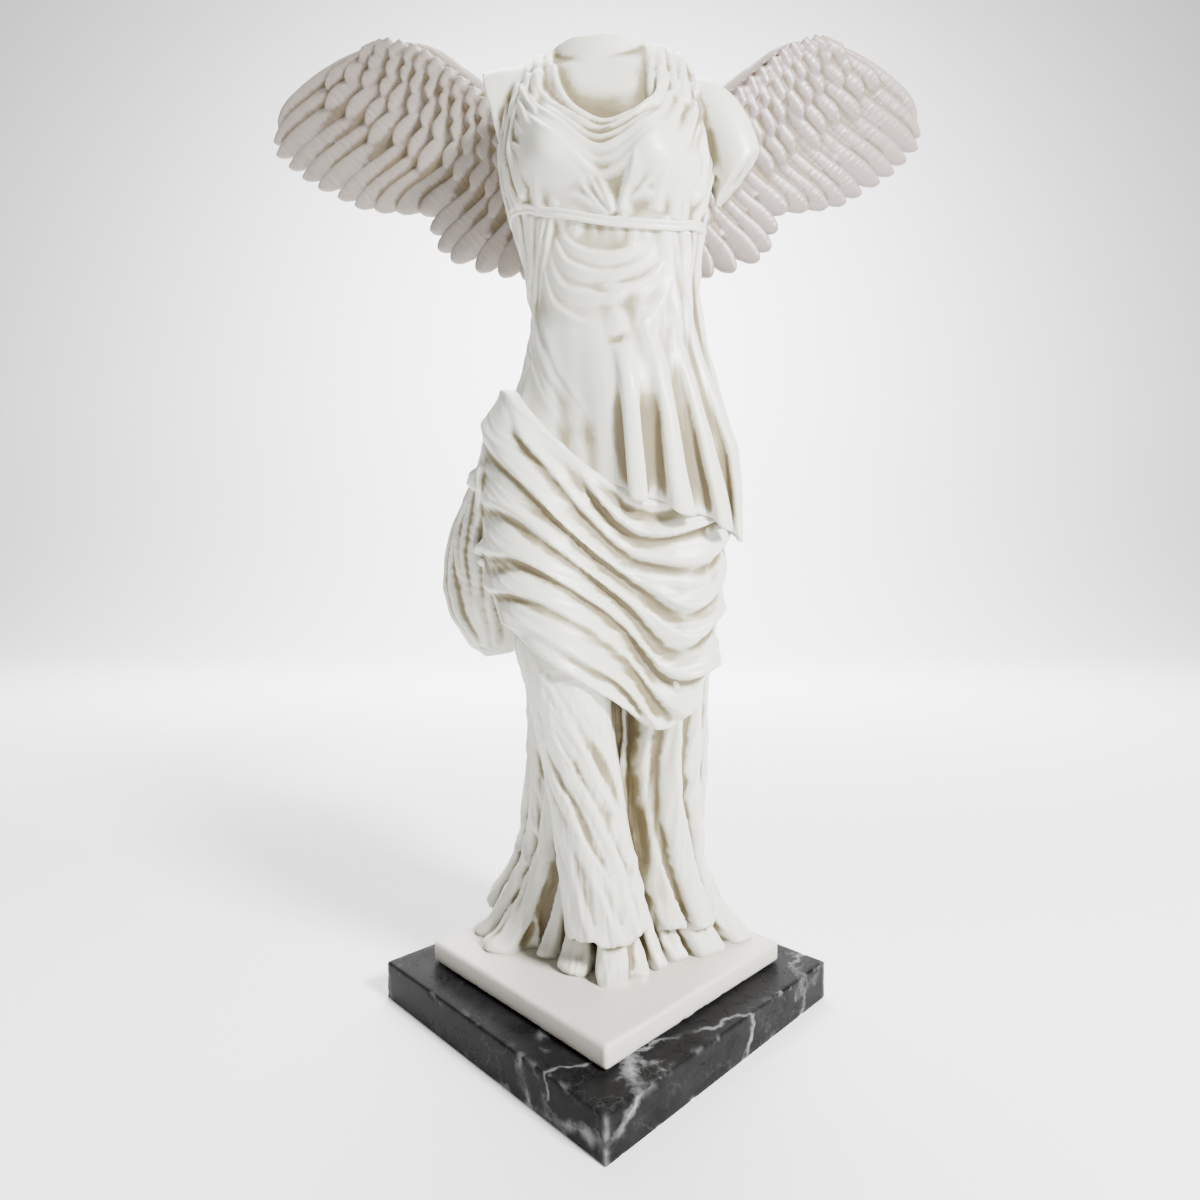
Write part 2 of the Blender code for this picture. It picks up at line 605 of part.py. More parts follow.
def feather_row(side, count, shift, start, stop, width, thickness, lift):
    """A row of feathers side by side along a wing, between two shares of the way to its edge."""
    made = []
    for k in range(count):
        curve = wing_curve(min((k + shift) / FLIGHT_FEATHERS, 1.0), side)
        end = stop * (1 + 0.08 * math.sin(k * 2.3 + shift * 5 + side)) if stop < 1 else stop
        made.append(feather(curve, start, end, width, thickness, lift, side))
    return made


def membrane(side):
    """The thin middle of a wing, which closes the gaps between its feathers."""
    across, down = 26, 10
    curves = [wing_curve(i / (across - 1), side) for i in range(across)]
    sheet = [curve(0.75 * j / (down - 1)) for j in range(down) for curve in curves]
    front, back = (
        [(side * out, wing_depth(out, height) + shift, height) for out, height in sheet]
        for shift in (-1.6, 2.4)
    )
    return shell(front, back, across, down)


def wing(side):
    """The bodies of one wing: its arm, its flight feathers and the rows of shorter ones over them."""
    arm = [
        (side * out, wing_depth(out, height) + 1.0, height, radius, radius * 0.9, radius * 0.9)
        for (out, height), radius in zip(WING_ARM, WING_ARM_RADII)
    ]
    bodies = [loft(arm, around=16, rings=24), membrane(side)]
    bodies += feather_row(side, FLIGHT_FEATHERS + 1, 0.0, 0.0, 1.0, 6.9, 2.4, 0.0)
    for shift, start, stop, width, thickness, lift in COVERTS:
        for face in (1, -1):
            bodies += feather_row(side, FLIGHT_FEATHERS, shift, start, stop, width, thickness, face * lift)
    return bodies


def chest_folds():
    """The folds of the bodice: neckline, sides and belt, and three across between the breasts."""
    folds = []
    for drop, height in ((0.5, 1.3), (4.0, 1.6), (8.0, 1.5), (13.0, 1.3), (19.0, 0.9)):
        half = [(24, 326 - drop), (44 + drop * 0.7, 338 - drop * 0.6), (58 + drop, 348)]
        guide = [*reversed(mirrored(half)), (0, 320 - drop), *half]
        folds.append(Fold(guide, 2.6, height, 0.03, 0.03, 1.2))
    for turn in (list, mirrored):
        near = [(-62, 348), (-66, 330), (-60, 308), (-50, 289)]
        far = [(-92, 350), (-92, 330), (-86, 308), (-80, 289)]
        folds += bundle(turn(near), turn(far), 6, 2.6, 1.6, fade_out=0.1)
        near, far = [(-58, 290), (-52, 300), (-44, 310)], [(-10, 289), (-14, 298), (-20, 306)]
        folds += bundle(turn(near), turn(far), 7, 2.2, 1.5, fade_out=0.7, shortest=6)
    across = ([(-48, 338), (-24, 316), (0, 302), (22, 292)], [(-40, 326), (-20, 308), (-2, 298), (10, 290)])
    return folds + bundle(*across, 3, 2.6, 1.3, fade_in=0.1, fade_out=0.2)


def lower_folds():
    """The folds below the belt: flanks, belly, left hip, shin and the two sides of the mantle's apron."""
    folds = []
    for turn in (list, mirrored):
        flank = ([(-100, 284), (-98, 250), (-104, 220)], [(-44, 284), (-52, 258), (-66, 232)])
        belly = ([(-34, 284), (-42, 268), (-56, 250)], [(-6, 284), (-8, 272), (-14, 258)])
        folds += bundle(turn(flank[0]), turn(flank[1]), 8, 2.6, 1.5, shortest=6)
        folds += bundle(turn(belly[0]), turn(belly[1]), 5, 2.4, 1.3, fade_out=0.6, shortest=5)
    hip = ([(34, 250), (30, 226), (20, 204)], [(84, 244), (82, 212), (74, 188)])
    shin = ([(-26, 140), (-16, 118), (-4, 92), (4, 62)], [(-48, 140), (-42, 112), (-36, 80), (-22, 52)])
    right_apron = (
        [(-84, 200), (-54, 190), (-20, 176), (14, 162)],
        [(-86, 176), (-60, 160), (-32, 144), (4, 128)],
    )
    left_apron = (
        [(88, 202), (58, 190), (36, 176), (12, 168)],
        [(90, 186), (68, 160), (52, 138), (30, 120)],
    )
    folds += bundle(*hip, 6, 3.2, 2.0, fade_in=0.4, fade_out=0.02)
    folds += bundle(*shin, 5, 2.6, 1.3, fade_in=0.3, fade_out=0.2)
    folds += bundle(*right_apron, 5, 5.0, 3.0, fade_in=0.02)
    folds += bundle(*left_apron, 5, 5.0, 3.0, fade_in=0.02)
    navel = Fold([(4, 248), (4, 244), (4, 240)], 5.4, -2.2, 0.3, 0.3, 2.4)
    midline = Fold([(5, 275), (5, 262), (4, 250)], 5.0, -0.9, 0.3, 0.3, 2.0)
    return folds + [navel, midline]


def clear_scene():
    """Removes what the file opened with."""
    for item in list(bpy.data.objects):
        bpy.data.objects.remove(item)


def collection(name):
    """A new collection in the scene."""
    made = bpy.data.collections.new(name)
    bpy.context.scene.collection.children.link(made)
    return made


def material(name, colour, roughness):
    """A plain shader in one colour."""
    made = bpy.data.materials.new(name)
    made.use_nodes = True
    shader = made.node_tree.nodes["Principled BSDF"]
    shader.inputs["Base Color"].default_value = (*colour, 1.0)
    shader.inputs["Roughness"].default_value = roughness
    shader.inputs["Metallic"].default_value = 0.0
    return made


def mesh_object(name, points, faces, group):
    """An object from points in millimetres and their faces."""
    mesh = bpy.data.meshes.new(name)
    mesh.from_pydata((points * METRES).tolist(), [], faces)
    mesh.validate()
    made = bpy.data.objects.new(name, mesh)
    group.objects.link(made)
    return made


def mesh_arrays(mesh):
    """A mesh's points in millimetres, its normals and its faces."""
    points = np.empty(len(mesh.vertices) * 3, np.float32)
    mesh.vertices.foreach_get("co", points)
    normals = np.empty(len(mesh.vertices) * 3, np.float32)
    mesh.vertices.foreach_get("normal", normals)
    faces = [tuple(face.vertices) for face in mesh.polygons]
    return points.reshape(-1, 3) / METRES, normals.reshape(-1, 3), faces


def apply_modifiers(item):
    """Puts the item's evaluated mesh in place of its own."""
    graph = bpy.context.evaluated_depsgraph_get()
    mesh = bpy.data.meshes.new_from_object(item.evaluated_get(graph))
    item.modifiers.clear()
    item.data = mesh


def largest_island(mesh):
    """Leaves only the mesh's largest connected part."""
    work = bmesh.new()
    work.from_mesh(mesh)
    unseen = set(work.verts)
    islands = []
    while unseen:
        stack = [unseen.pop()]
        island = []
        while stack:
            vert = stack.pop()
            island.append(vert)
            found = {edge.other_vert(vert) for edge in vert.link_edges} & unseen
            unseen -= found
            stack += found
        islands.append(island)
    islands.sort(key=len)
    small = [vert for island in islands[:-1] for vert in island]
    bmesh.ops.delete(work, geom=small, context="VERTS")
    work.to_mesh(mesh)
    work.free()


def fuse(item):
    """Makes one closed skin of the item's overlapping bodies."""
    remesh = item.modifiers.new("fused", "REMESH")
    remesh.mode = "VOXEL"
    remesh.voxel_size = VOXEL * METRES
    soften = item.modifiers.new("softened", "SMOOTH")
    soften.factor = 0.5
    soften.iterations = 2
    apply_modifiers(item)
    largest_island(item.data)


def carve(item, folds, skin=None):
    """Raises folds on the item's surface, along guides on that surface or on another."""
    points, normals, faces = mesh_arrays(item.data)
    moved = raise_folds(points, normals, folds, skin or Skin(points, faces))
    item.data.vertices.foreach_set("co", (moved * METRES).astype(np.float32).ravel())
    item.data.update()


def square_block(name, side, low, high, bevel, group):
    """A square block with its corners on the X and Y axes and its edges eased."""
    place = (0, 0, (low + high) / 2 * METRES)
    bpy.ops.mesh.primitive_cube_add(size=1.0, location=place, rotation=(0, 0, DIAGONAL_TURN))
    made = bpy.context.active_object
    made.name = name
    made.scale = (side * METRES, side * METRES, (high - low) * METRES)
    bpy.ops.object.transform_apply(location=False, rotation=False, scale=True)
    for owner in list(made.users_collection):
        owner.objects.unlink(made)
    group.objects.link(made)
    eased = made.modifiers.new("eased_edges", "BEVEL")
    eased.width = bevel * METRES
    eased.segments = 2
    eased.limit_method = "ANGLE"
    return made


def statue(group, helpers):
    """The cast: figure, wings and slab in one."""
    random.seed(SEED)
    bare = bare_bodies()
    skin, chest = Skin(*joined(bare)), Skin(*bare[0])
    clothes = upper_clothes(skin, chest) + mantle(skin) + skirt_folds(skin)
    points, faces = joined(bare + clothes + wing(-1) + wing(1))
    points[:, 2] = np.maximum(points[:, 2], SLAB_TOP - SUNK)
    cast = mesh_object("winged_statue", points, faces, group)
    fuse(cast)
    carve(cast, chest_folds(), chest)
    carve(cast, lower_folds())
    facets = cast.modifiers.new("facets", "DECIMATE")
    facets.ratio = STATUE_TRIANGLES / (2 * len(cast.data.polygons))
    facets.use_collapse_triangulate = True
    slab = square_block("slab_block", SLAB_SIDE, SLAB_FOOT, SLAB_TOP, SLAB_BEVEL, helpers)
    slab.hide_render = True
    slab.display_type = "WIRE"
    union = cast.modifiers.new("slab", "BOOLEAN")
    union.operation = "UNION"
    union.object = slab
    cast.data.materials.append(material("cast_marble", (0.82, 0.80, 0.73), 0.38))


def black_base(group):
    """The block of black marble under the cast."""
    base = square_block("black_marble_base", BASE_SIDE, 0.0, BASE_HEIGHT, BASE_BEVEL, group)
    base.data.materials.append(material("black_marble", (0.03, 0.03, 0.032), 0.3))


def main():
    """Builds the statuette."""
    clear_scene()
    parts = collection("winged_marble_statuette")
    helpers = collection("helpers")
    black_base(parts)
    statue(parts, helpers)


main()
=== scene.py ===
"""The looks of a winged marble statuette on its base of black marble.

The figure, its wings and its slab are one pale cast. Here it is made of finer pieces that keep the form of
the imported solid: the draped torso, the belt, the mantle round the hips, the skirt with the legs, two wings
and the slab. Lengths are in millimetres until a mesh is made. Places on the figure are written in three
ways. ROUND gives an angle round AXIS, with 0 at the front, 90 at +X and 180 at the back, and a height.
FRONT and BACK give x and a height, as seen from there.
"""

import itertools
import logging
import math
import random
from dataclasses import dataclass
from enum import Enum
from typing import Sequence

import bpy
import numpy as np
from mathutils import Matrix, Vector
from mathutils.bvhtree import BVHTree


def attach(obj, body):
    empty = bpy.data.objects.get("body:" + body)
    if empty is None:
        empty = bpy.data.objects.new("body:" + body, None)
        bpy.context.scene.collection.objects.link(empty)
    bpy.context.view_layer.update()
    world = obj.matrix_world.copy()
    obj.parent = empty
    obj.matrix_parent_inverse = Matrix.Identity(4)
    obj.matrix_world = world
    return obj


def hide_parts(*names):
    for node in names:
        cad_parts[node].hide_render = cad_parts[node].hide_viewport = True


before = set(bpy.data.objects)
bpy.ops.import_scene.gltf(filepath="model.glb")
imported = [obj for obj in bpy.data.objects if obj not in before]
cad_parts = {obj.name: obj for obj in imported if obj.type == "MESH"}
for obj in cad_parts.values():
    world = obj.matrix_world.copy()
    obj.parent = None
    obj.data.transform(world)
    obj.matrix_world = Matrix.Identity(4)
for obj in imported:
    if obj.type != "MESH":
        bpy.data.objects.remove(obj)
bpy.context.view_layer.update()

logging.basicConfig(level=logging.INFO, format="%(message)s")
log = logging.getLogger("statuette")

Rows = Sequence[Sequence[float]]
Body = tuple[np.ndarray, list[tuple[int, ...]]]

METRES = 0.001
AXIS = (1.0, 4.0)
CLEAR = 110.0
FACING = (0.0, -1.0, 0.0)
STATUE_NODE = "winged_statue"
BASE_NODE = "black_marble_base"
MOST_TRIANGLES = 190_000
SLAB_TOP = 22.3
SLAB_REACH = 67.2


class View(Enum):
    """How the points of a guide are written."""

    ROUND = "angle and height"
    FRONT = "x and height from the front"
    BACK = "x and height from the back"


# Curves and bodies


def smooth_rows(rows: Rows, count: int) -> np.ndarray:
    """Samples a smooth curve through rows of numbers.

    Args:
        rows: The rows that the curve passes through.
        count: How many rows to return.

    Returns:
        `count` rows on a Catmull-Rom curve.
    """
    given = np.asarray(rows, float)
    padded = np.vstack([2 * given[0] - given[1], given, 2 * given[-1] - given[-2]])
    place = np.linspace(0, len(given) - 1, count)
    index = np.minimum(place.astype(int), len(given) - 2)
    t = (place - index)[:, None]
    a, b, c, d = (padded[index + i] for i in range(4))
    return 0.5 * (2 * b + (c - a) * t + (2 * a - 5 * b + 4 * c - d) * t**2 + (3 * b - a - 3 * c + d) * t**3)


def smooth_step(value: np.ndarray | float) -> np.ndarray:
    """Returns the value held between 0 and 1, with eased ends."""
    held = np.clip(value, 0, 1)
    return held * held * (3 - 2 * held)


def window(value: np.ndarray, low: float, high: float, edge: float) -> np.ndarray:
    """Returns 1 where a value is between low and high, easing to 0 over the edge outside them."""
    return smooth_step((value - low) / edge + 1) * smooth_step((high - value) / edge + 1)


def unit(vectors: np.ndarray) -> np.ndarray:
    """Returns vectors of length one."""
    given = np.asarray(vectors, float)
    return given / np.maximum(np.linalg.norm(given, axis=-1, keepdims=True), 1e-9)


def outward(angle: float) -> np.ndarray:
    """Returns the direction away from the axis at an angle in degrees."""
    turn = math.radians(angle)
    return np.array([math.sin(turn), -math.cos(turn), 0.0])


def noise(places: np.ndarray, seed: int = 0) -> np.ndarray:
    """Smooth gradient noise.

    Args:
        places: Three columns of coordinates, with one cell of noise to each unit.
        seed: Chooses the pattern.

    Returns:
        A value from about -1 to 1 for each row.
    """
    cell = np.floor(places).astype(np.int64)
    local = places - cell
    ease = local**3 * (local * (local * 6 - 15) + 10)
    total = np.zeros(len(places))
    for corner in itertools.product((0, 1), repeat=3):
        at = cell + corner
        mixed = at[:, 0] * 374761393 + at[:, 1] * 668265263 + at[:, 2] * 1274126177 + seed * 974711
        mixed &= 0xFFFFFFFF
        mixed = ((mixed ^ (mixed >> 13)) * 1274126177) & 0xFFFFFFFF
        mixed ^= mixed >> 16
        away = local - corner
        weight = np.prod(np.where(corner, ease, 1 - ease), axis=1)
        for axis in range(3):
            total += weight * away[:, axis] * (((mixed >> (10 * axis)) & 1023) / 511.5 - 1)
    return total * 1.7


def ridged(places: np.ndarray, reach: float = 0.4, sharp: float = 1.6, seed: int = 0) -> np.ndarray:
    """Returns thin ridges, from 0 to 1, that wander and branch along the zero lines of the noise."""
    return np.clip(1 - np.abs(noise(places, seed)) / reach, 0, 1) ** sharp


def loft(
    rows: Rows, front: Sequence[float] = FACING, around: int = 20, rings: int = 20, power: float = 2.0
) -> Body:
    """Makes a closed body through rows of sections.

    Args:
        rows: Centre x, y, z, half width, depth in front and depth behind, for each section.
        front: The direction that the front of each section faces.
        around: Points round a section.
        rings: Sections in the body.
        power: 2 for an ellipse, more for a squarer section.

    Returns:
        The body's points and faces.
    """
    line = smooth_rows(rows, rings)
    centre, half, fore, aft = line[:, :3], line[:, 3:4], line[:, 4:5], line[:, 5:6]
    along = unit(np.gradient(centre, axis=0))
    ahead = np.broadcast_to(np.asarray(front, float), centre.shape)
    ahead = unit(ahead - (ahead * along).sum(1, keepdims=True) * along)
    side = np.cross(along, ahead)
    angle = np.linspace(0, 2 * math.pi, around, endpoint=False)
    sine = np.sign(np.sin(angle)) * np.abs(np.sin(angle)) ** (2 / power)
    cosine = np.sign(np.cos(angle)) * np.abs(np.cos(angle)) ** (2 / power)
    depth = np.where(cosine > 0, fore * cosine, aft * cosine)
    skin = centre[:, None] + side[:, None] * (half * sine)[..., None] + ahead[:, None] * depth[..., None]
    points = np.vstack([skin.reshape(-1, 3), centre[0], centre[-1]])
    ring, step = np.meshgrid(np.arange(rings - 1), np.arange(around), indexing="ij")
    near, far = ring * around + step, ring * around + (step + 1) % around
    quads = np.stack([near, far, far + around, near + around], -1).reshape(-1, 4)
    first, last, top = rings * around, rings * around + 1, (rings - 1) * around
    fans = [(first, (i + 1) % around, i) for i in range(around)]
    fans += [(last, top + i, top + (i + 1) % around) for i in range(around)]
    return points, [tuple(quad) for quad in quads.tolist()] + fans


def shell(outer: Rows, inner: Rows, across: int, down: int) -> Body:
    """Makes a closed body between an outer and an inner grid of points.

    Args:
        outer: The outer grid, row by row.
        inner: The inner grid, in the same order.
        across: Points in a row.
        down: Rows in a grid.

    Returns:
        The body's points and faces.
    """
    count = across * down
    faces: list[tuple[int, ...]] = []
    for j in range(down - 1):
        for i in range(across - 1):
            a = j * across + i
            quad = (a, a + 1, a + across + 1, a + across)
            faces.append(quad)
            faces.append(tuple(count + k for k in reversed(quad)))
    rim = list(range(across))
    rim += [j * across + across - 1 for j in range(1, down)]
    rim += [(down - 1) * across + i for i in range(across - 2, -1, -1)]
    rim += [j * across for j in range(down - 2, 0, -1)]
    faces += [(b, a, count + a, count + b) for a, b in zip(rim, rim[1:] + rim[:1])]
    return np.array([tuple(p) for p in [*outer, *inner]]), faces


def joined(bodies: Sequence[Body]) -> Body:
    """Returns several bodies as one list of points and one of faces."""
    points, faces, start = [], [], 0
    for body_points, body_faces in bodies:
        points.append(body_points)
        faces += [tuple(i + start for i in face) for face in body_faces]
        start += len(body_points)
    return np.vstack(points), faces


class Skin:
    """A body's outer surface, found by looking at it from outside."""

    def __init__(self, body: Body) -> None:
        """Takes the body whose surface is wanted."""
        points, faces = body
        self.tree = BVHTree.FromPolygons([Vector(p) for p in points], faces)

    def at(self, place: Sequence[float], view: View = View.ROUND) -> tuple[Vector, Vector]:
        """Finds a place on the surface.

        Args:
            place: The two numbers of the place.
            view: How they are written.

        Returns:
            The point and the surface's normal there.
        """
        across, height = float(place[0]), float(place[1])
        if view is View.ROUND:
            away = Vector(outward(across))
            middle = Vector((*AXIS, height))
        else:
            away = Vector((0.0, -1.0 if view is View.FRONT else 1.0, 0.0))
            middle = Vector((across, AXIS[1], height))
        hit, normal, _, _ = self.tree.ray_cast(middle + away * CLEAR, -away)
        if hit is None:
            return middle, away
        return hit, (normal if normal.dot(away) > 0 else -normal)

    def path(self, guide: Rows, count: int, view: View = View.ROUND) -> tuple[np.ndarray, np.ndarray]:
        """Returns the points and normals of the surface along a smooth guide."""
        found = [self.at(place, view) for place in smooth_rows(guide, count)]
        return np.array([tuple(hit) for hit, _ in found]), np.array([tuple(normal) for _, normal in found])

    def over_shoulder(self, x: float, drift: float, turn: float) -> Vector | None:
        """Returns the surface at a turn about a line through the shoulders, 0 being straight up."""
        away = Vector((drift * abs(math.sin(turn)), math.sin(turn), math.cos(turn)))
        centre = Vector((x, AXIS[1], 330.0))
        hit, _, _, _ = self.tree.ray_cast(centre + away * CLEAR, -away)
        return hit


@dataclass(frozen=True)
class Fold:
    """A ridge of cloth, or a crease where its height is below 0, that fades at its two ends."""

    guide: Rows
    width: float
    height: float
    view: View = View.ROUND
    fade_in: float = 0.15
    fade_out: float = 0.3
    sharp: float = 1.5
    lean: float = 0.0


def spread(
    first: Rows, last: Rows, count: int, fold: Fold, jitter: float = 0.8, shortest: float = 0.75
) -> list[Fold]:
    """Makes folds side by side, no two quite alike.

    Args:
        first: The guide of the first fold.
        last: The guide of the last one.
        count: How many folds.
        fold: The fold that they all resemble.
        jitter: How far a guide's points stray.
        shortest: The shortest fold's share of its guide.

    Returns:
        The folds.
    """
    start, end = np.asarray(first, float), np.asarray(last, float)
    steps = 24
    made = []
    for k in range(count):
        share = k / max(count - 1, 1)
        guide = start * (1 - share) + end * share
        guide += np.array([[random.uniform(-jitter, jitter) for _ in row] for row in guide])
        reach = random.randint(int(steps * shortest), steps)
        size = random.uniform(0.62, 1.28)
        made.append(
            Fold(
                smooth_rows(guide, steps)[:reach],
                fold.width * size,
                fold.height * size * random.uniform(0.75, 1.15),
                fold.view,
                fold.fade_in,
                fold.fade_out,
                fold.sharp,
                fold.lean + random.uniform(-0.2, 0.2),
            )
        )
    return made


def mirrored(guide: Rows) -> list[tuple[float, float]]:
    """Returns the guide on the other side of the body."""
    return [(-place[0], place[1]) for place in guide]


# Making a piece


def alone(piece: bpy.types.Object) -> None:
    """Selects one object and makes it the active one."""
    bpy.ops.object.select_all(action="DESELECT")
    piece.select_set(True)
    bpy.context.view_layer.objects.active = piece


def applied(piece: bpy.types.Object, kind: str, **settings: float | str | bool) -> None:
    """Adds a modifier with the settings given and applies it."""
    alone(piece)
    modifier = piece.modifiers.new(kind.lower(), kind)
    for name, value in settings.items():
        setattr(modifier, name, value)
    bpy.ops.object.modifier_apply(modifier=modifier.name)


class Clay:
    """Overlapping bodies that are fused into one closed piece."""

    def __init__(self, name: str) -> None:
        """Takes the name of the piece."""
        self.name = name
        self.bodies: list[Body] = []

    def add(self, *bodies: Body) -> None:
        """Adds bodies."""
        self.bodies += bodies

    def fuse(self, voxel: float, rounds: int = 2, floor: float | None = None) -> bpy.types.Object:
        """Makes one closed skin of the bodies.

        Args:
            voxel: The size of its squares.
            rounds: How many times it is smoothed.
            floor: A height below which nothing hangs.

        Returns:
            The piece.
        """
        points, faces = joined(self.bodies)
        if floor is not None:
            points[:, 2] = np.maximum(points[:, 2], floor)
        mesh = bpy.data.meshes.new(self.name)
        mesh.from_pydata((points * METRES).tolist(), [], faces)
        mesh.validate()
        piece = bpy.data.objects.new(self.name, mesh)
        bpy.context.scene.collection.objects.link(piece)
        applied(piece, "REMESH", mode="VOXEL", voxel_size=voxel * METRES)
        applied(piece, "SMOOTH", factor=0.5, iterations=rounds)
        keep_largest(piece)
        return piece


def vertex_array(mesh: bpy.types.Mesh, name: str) -> np.ndarray:
    """Returns a vector attribute of all the mesh's vertices, such as co or normal."""
    values = np.empty(len(mesh.vertices) * 3, np.float32)
    mesh.vertices.foreach_get(name, values)
    return values.reshape(-1, 3).astype(float)


def edge_ends(mesh: bpy.types.Mesh) -> tuple[np.ndarray, np.ndarray]:
    """Returns the two ends of every edge."""
    ends = np.empty(len(mesh.edges) * 2, np.int32)
    mesh.edges.foreach_get("vertices", ends)
    return ends[0::2], ends[1::2]


def keep_largest(piece: bpy.types.Object) -> None:
    """Deletes all of a piece but its largest connected part.

    Args:
        piece: The piece.
    """
    mesh = piece.data
    one, other = edge_ends(mesh)
    label = np.arange(len(mesh.vertices))
    while True:
        lowest = np.minimum(label[one], label[other])
        new = label.copy()
        np.minimum.at(new, one, lowest)
        np.minimum.at(new, other, lowest)
        new = new[new]
        if np.array_equal(new, label):
            break
        label = new
    values, counts = np.unique(label, return_counts=True)
    if len(values) == 1:
        return
    stray = label != values[counts.argmax()]
    alone(piece)
    bpy.ops.object.mode_set(mode="EDIT")
    bpy.ops.mesh.select_all(action="DESELECT")
    bpy.ops.object.mode_set(mode="OBJECT")
    mesh.vertices.foreach_set("select", stray)
    bpy.ops.object.mode_set(mode="EDIT")
    bpy.ops.mesh.delete(type="VERT")
    bpy.ops.object.mode_set(mode="OBJECT")


class Surface:
    """A piece's surface under the chisel; folds drawn on it stray a little from their guides."""

    stray: float = 1.3
    wave: float = 17.0
    near_depth: float = 0.2
    wide_depth: float = 0.8
    probe: float = 22.0

    def __init__(self, piece: bpy.types.Object) -> None:
        """Reads the piece's mesh."""
        self.piece = piece
        self.points = vertex_array(piece.data, "co") / METRES
        self.one, self.other = edge_ends(piece.data)
        self.links = np.bincount(self.one, minlength=len(self.points)) + np.bincount(
            self.other, minlength=len(self.points)
        )
        self.normals = unit(self.averaged(vertex_array(piece.data, "normal"), 2))
        self.angle = np.degrees(np.arctan2(self.points[:, 0] - AXIS[0], AXIS[1] - self.points[:, 1]))
        self.height = self.points[:, 2].copy()
        self.rise = np.zeros(len(self.points))
        self.crease = np.zeros(len(self.points))
        self.shift = np.zeros(len(self.points))

    def skin(self) -> Skin:
        """Returns the surface as it was when it was read."""
        faces = [tuple(face.vertices) for face in self.piece.data.polygons]
        return Skin((self.points, faces))

    def averaged(self, values: np.ndarray, rounds: int) -> np.ndarray:
        """Returns values at the vertices, averaged with their neighbours' again and again."""
        size = len(self.points)
        for _ in range(rounds):
            columns = []
            for column in values.reshape(size, -1).T:
                total = np.bincount(self.one, weights=column[self.other], minlength=size)
                total += np.bincount(self.other, weights=column[self.one], minlength=size)
                columns.append(0.5 * column + 0.5 * total / np.maximum(self.links, 1))
            values = np.stack(columns, 1).reshape(values.shape)
        return values

    def draw(self, folds: Sequence[Fold], skin: Skin) -> None:
        """Raises folds, the highest over each point counting, and sinks creases.

        Args:
            folds: The folds.
            skin: The surface that their guides are written on.
        """
        stray = np.stack([noise(self.points / self.wave, seed) for seed in (41, 42, 43)], 1)
        places = self.points + self.stray * stray
        swell = np.clip(0.86 + 0.5 * noise(self.points / 12, 44), 0.3, 1.3)
        for fold in folds:
            rough, _ = skin.path(fold.guide, 12, fold.view)
            length = np.linalg.norm(np.diff(rough, axis=0), axis=1).sum()
            path, normals = skin.path(fold.guide, int(np.clip(length * 1.3, 10, 220)), fold.view)
            side = unit(np.cross(np.gradient(path, axis=0), normals))
            share = np.linspace(0, 1, len(path))
            fade = smooth_step(share / fold.fade_in) * smooth_step((1 - share) / fold.fade_out)
            size = fold.width * (0.45 + 0.55 * fade)
            low, high = path.min(0) - fold.width * 1.5, path.max(0) + fold.width * 1.5
            index = np.nonzero(np.all((places > low) & (places < high), axis=1))[0]
            target = self.rise if fold.height > 0 else self.crease
            for start in range(0, len(index), 4000):
                some = index[start:start + 4000]
                apart = places[some][:, None] - path[None]
                near = np.linalg.norm(apart, axis=2).argmin(1)
                offset = places[some] - path[near]
                away = np.linalg.norm(offset, axis=1)
                toward = np.sign((offset * side[near]).sum(1)) * np.clip(away, 0, 1)
                reach = size[near] * (1 + fold.lean * toward)
                bump = np.clip(1 - away / reach, 0, 1) ** fold.sharp * abs(fold.height)
                target[some] = np.maximum(target[some], bump * fade[near] * swell[some])

    def pleats(
        self, cells: float, length: float, reach: float, sharp: float, sway: float, seed: int
    ) -> np.ndarray:
        """Fine pleats that run up and down, wander and branch.

        Args:
            cells: How many cells of noise go round the figure.
            length: How long a cell is along the pleats.
            reach: How wide a ridge is within its cell.
            sharp: How thin its crest is.
            sway: How many degrees the pleats swing from side to side.
            seed: Chooses the pattern.

        Returns:
            A value from 0 to 1 for each point.
        """
        swing = sway * noise(np.stack([self.height / 45, self.angle / 60, self.height * 0], 1), seed + 7)
        turn = np.radians(self.angle + swing)
        radius = cells / (2 * math.pi)
        places = np.stack([radius * np.sin(turn), radius * np.cos(turn), self.height / length], 1)
        return ridged(places, reach, sharp, seed)

    def press(self) -> None:
        """Moves the mesh's points by what was drawn."""
        moved = self.points + self.normals * (self.rise - self.crease + self.shift)[:, None]
        self.piece.data.vertices.foreach_set("co", (moved * METRES).astype(np.float32).ravel())
        self.piece.data.update()
        applied(self.piece, "SMOOTH", factor=0.4, iterations=2)

    def patina_and_shade(self) -> None:
        """Stores how deep each point lies between its neighbours and how shut in it is, as a point
        attribute: painted shade for the hollows, mixed with the cast's patina there.
        """
        near = ((self.averaged(self.points, 10) - self.points) * self.normals).sum(1) / self.near_depth
        wide = ((self.averaged(self.points, 60) - self.points) * self.normals).sum(1) / self.wide_depth
        # Painted shade, with some patina: concavity at two sizes and how shut in each point is, like ambient
        # occlusion, make the hollows darker.
        broad = np.clip(near, -0.5, 1) * 0.35 + np.clip(wide, -0.4, 1) * 1.1 + self.shut_in() * 0.9
        depth = self.averaged(broad, 12) + 0.32 * self.averaged(np.clip(near, -0.2, 1), 2)
        attribute = self.piece.data.attributes.new("patina_and_shade", "FLOAT", "POINT")
        attribute.data.foreach_set("value", np.clip(depth, 0, 1).astype(np.float32))

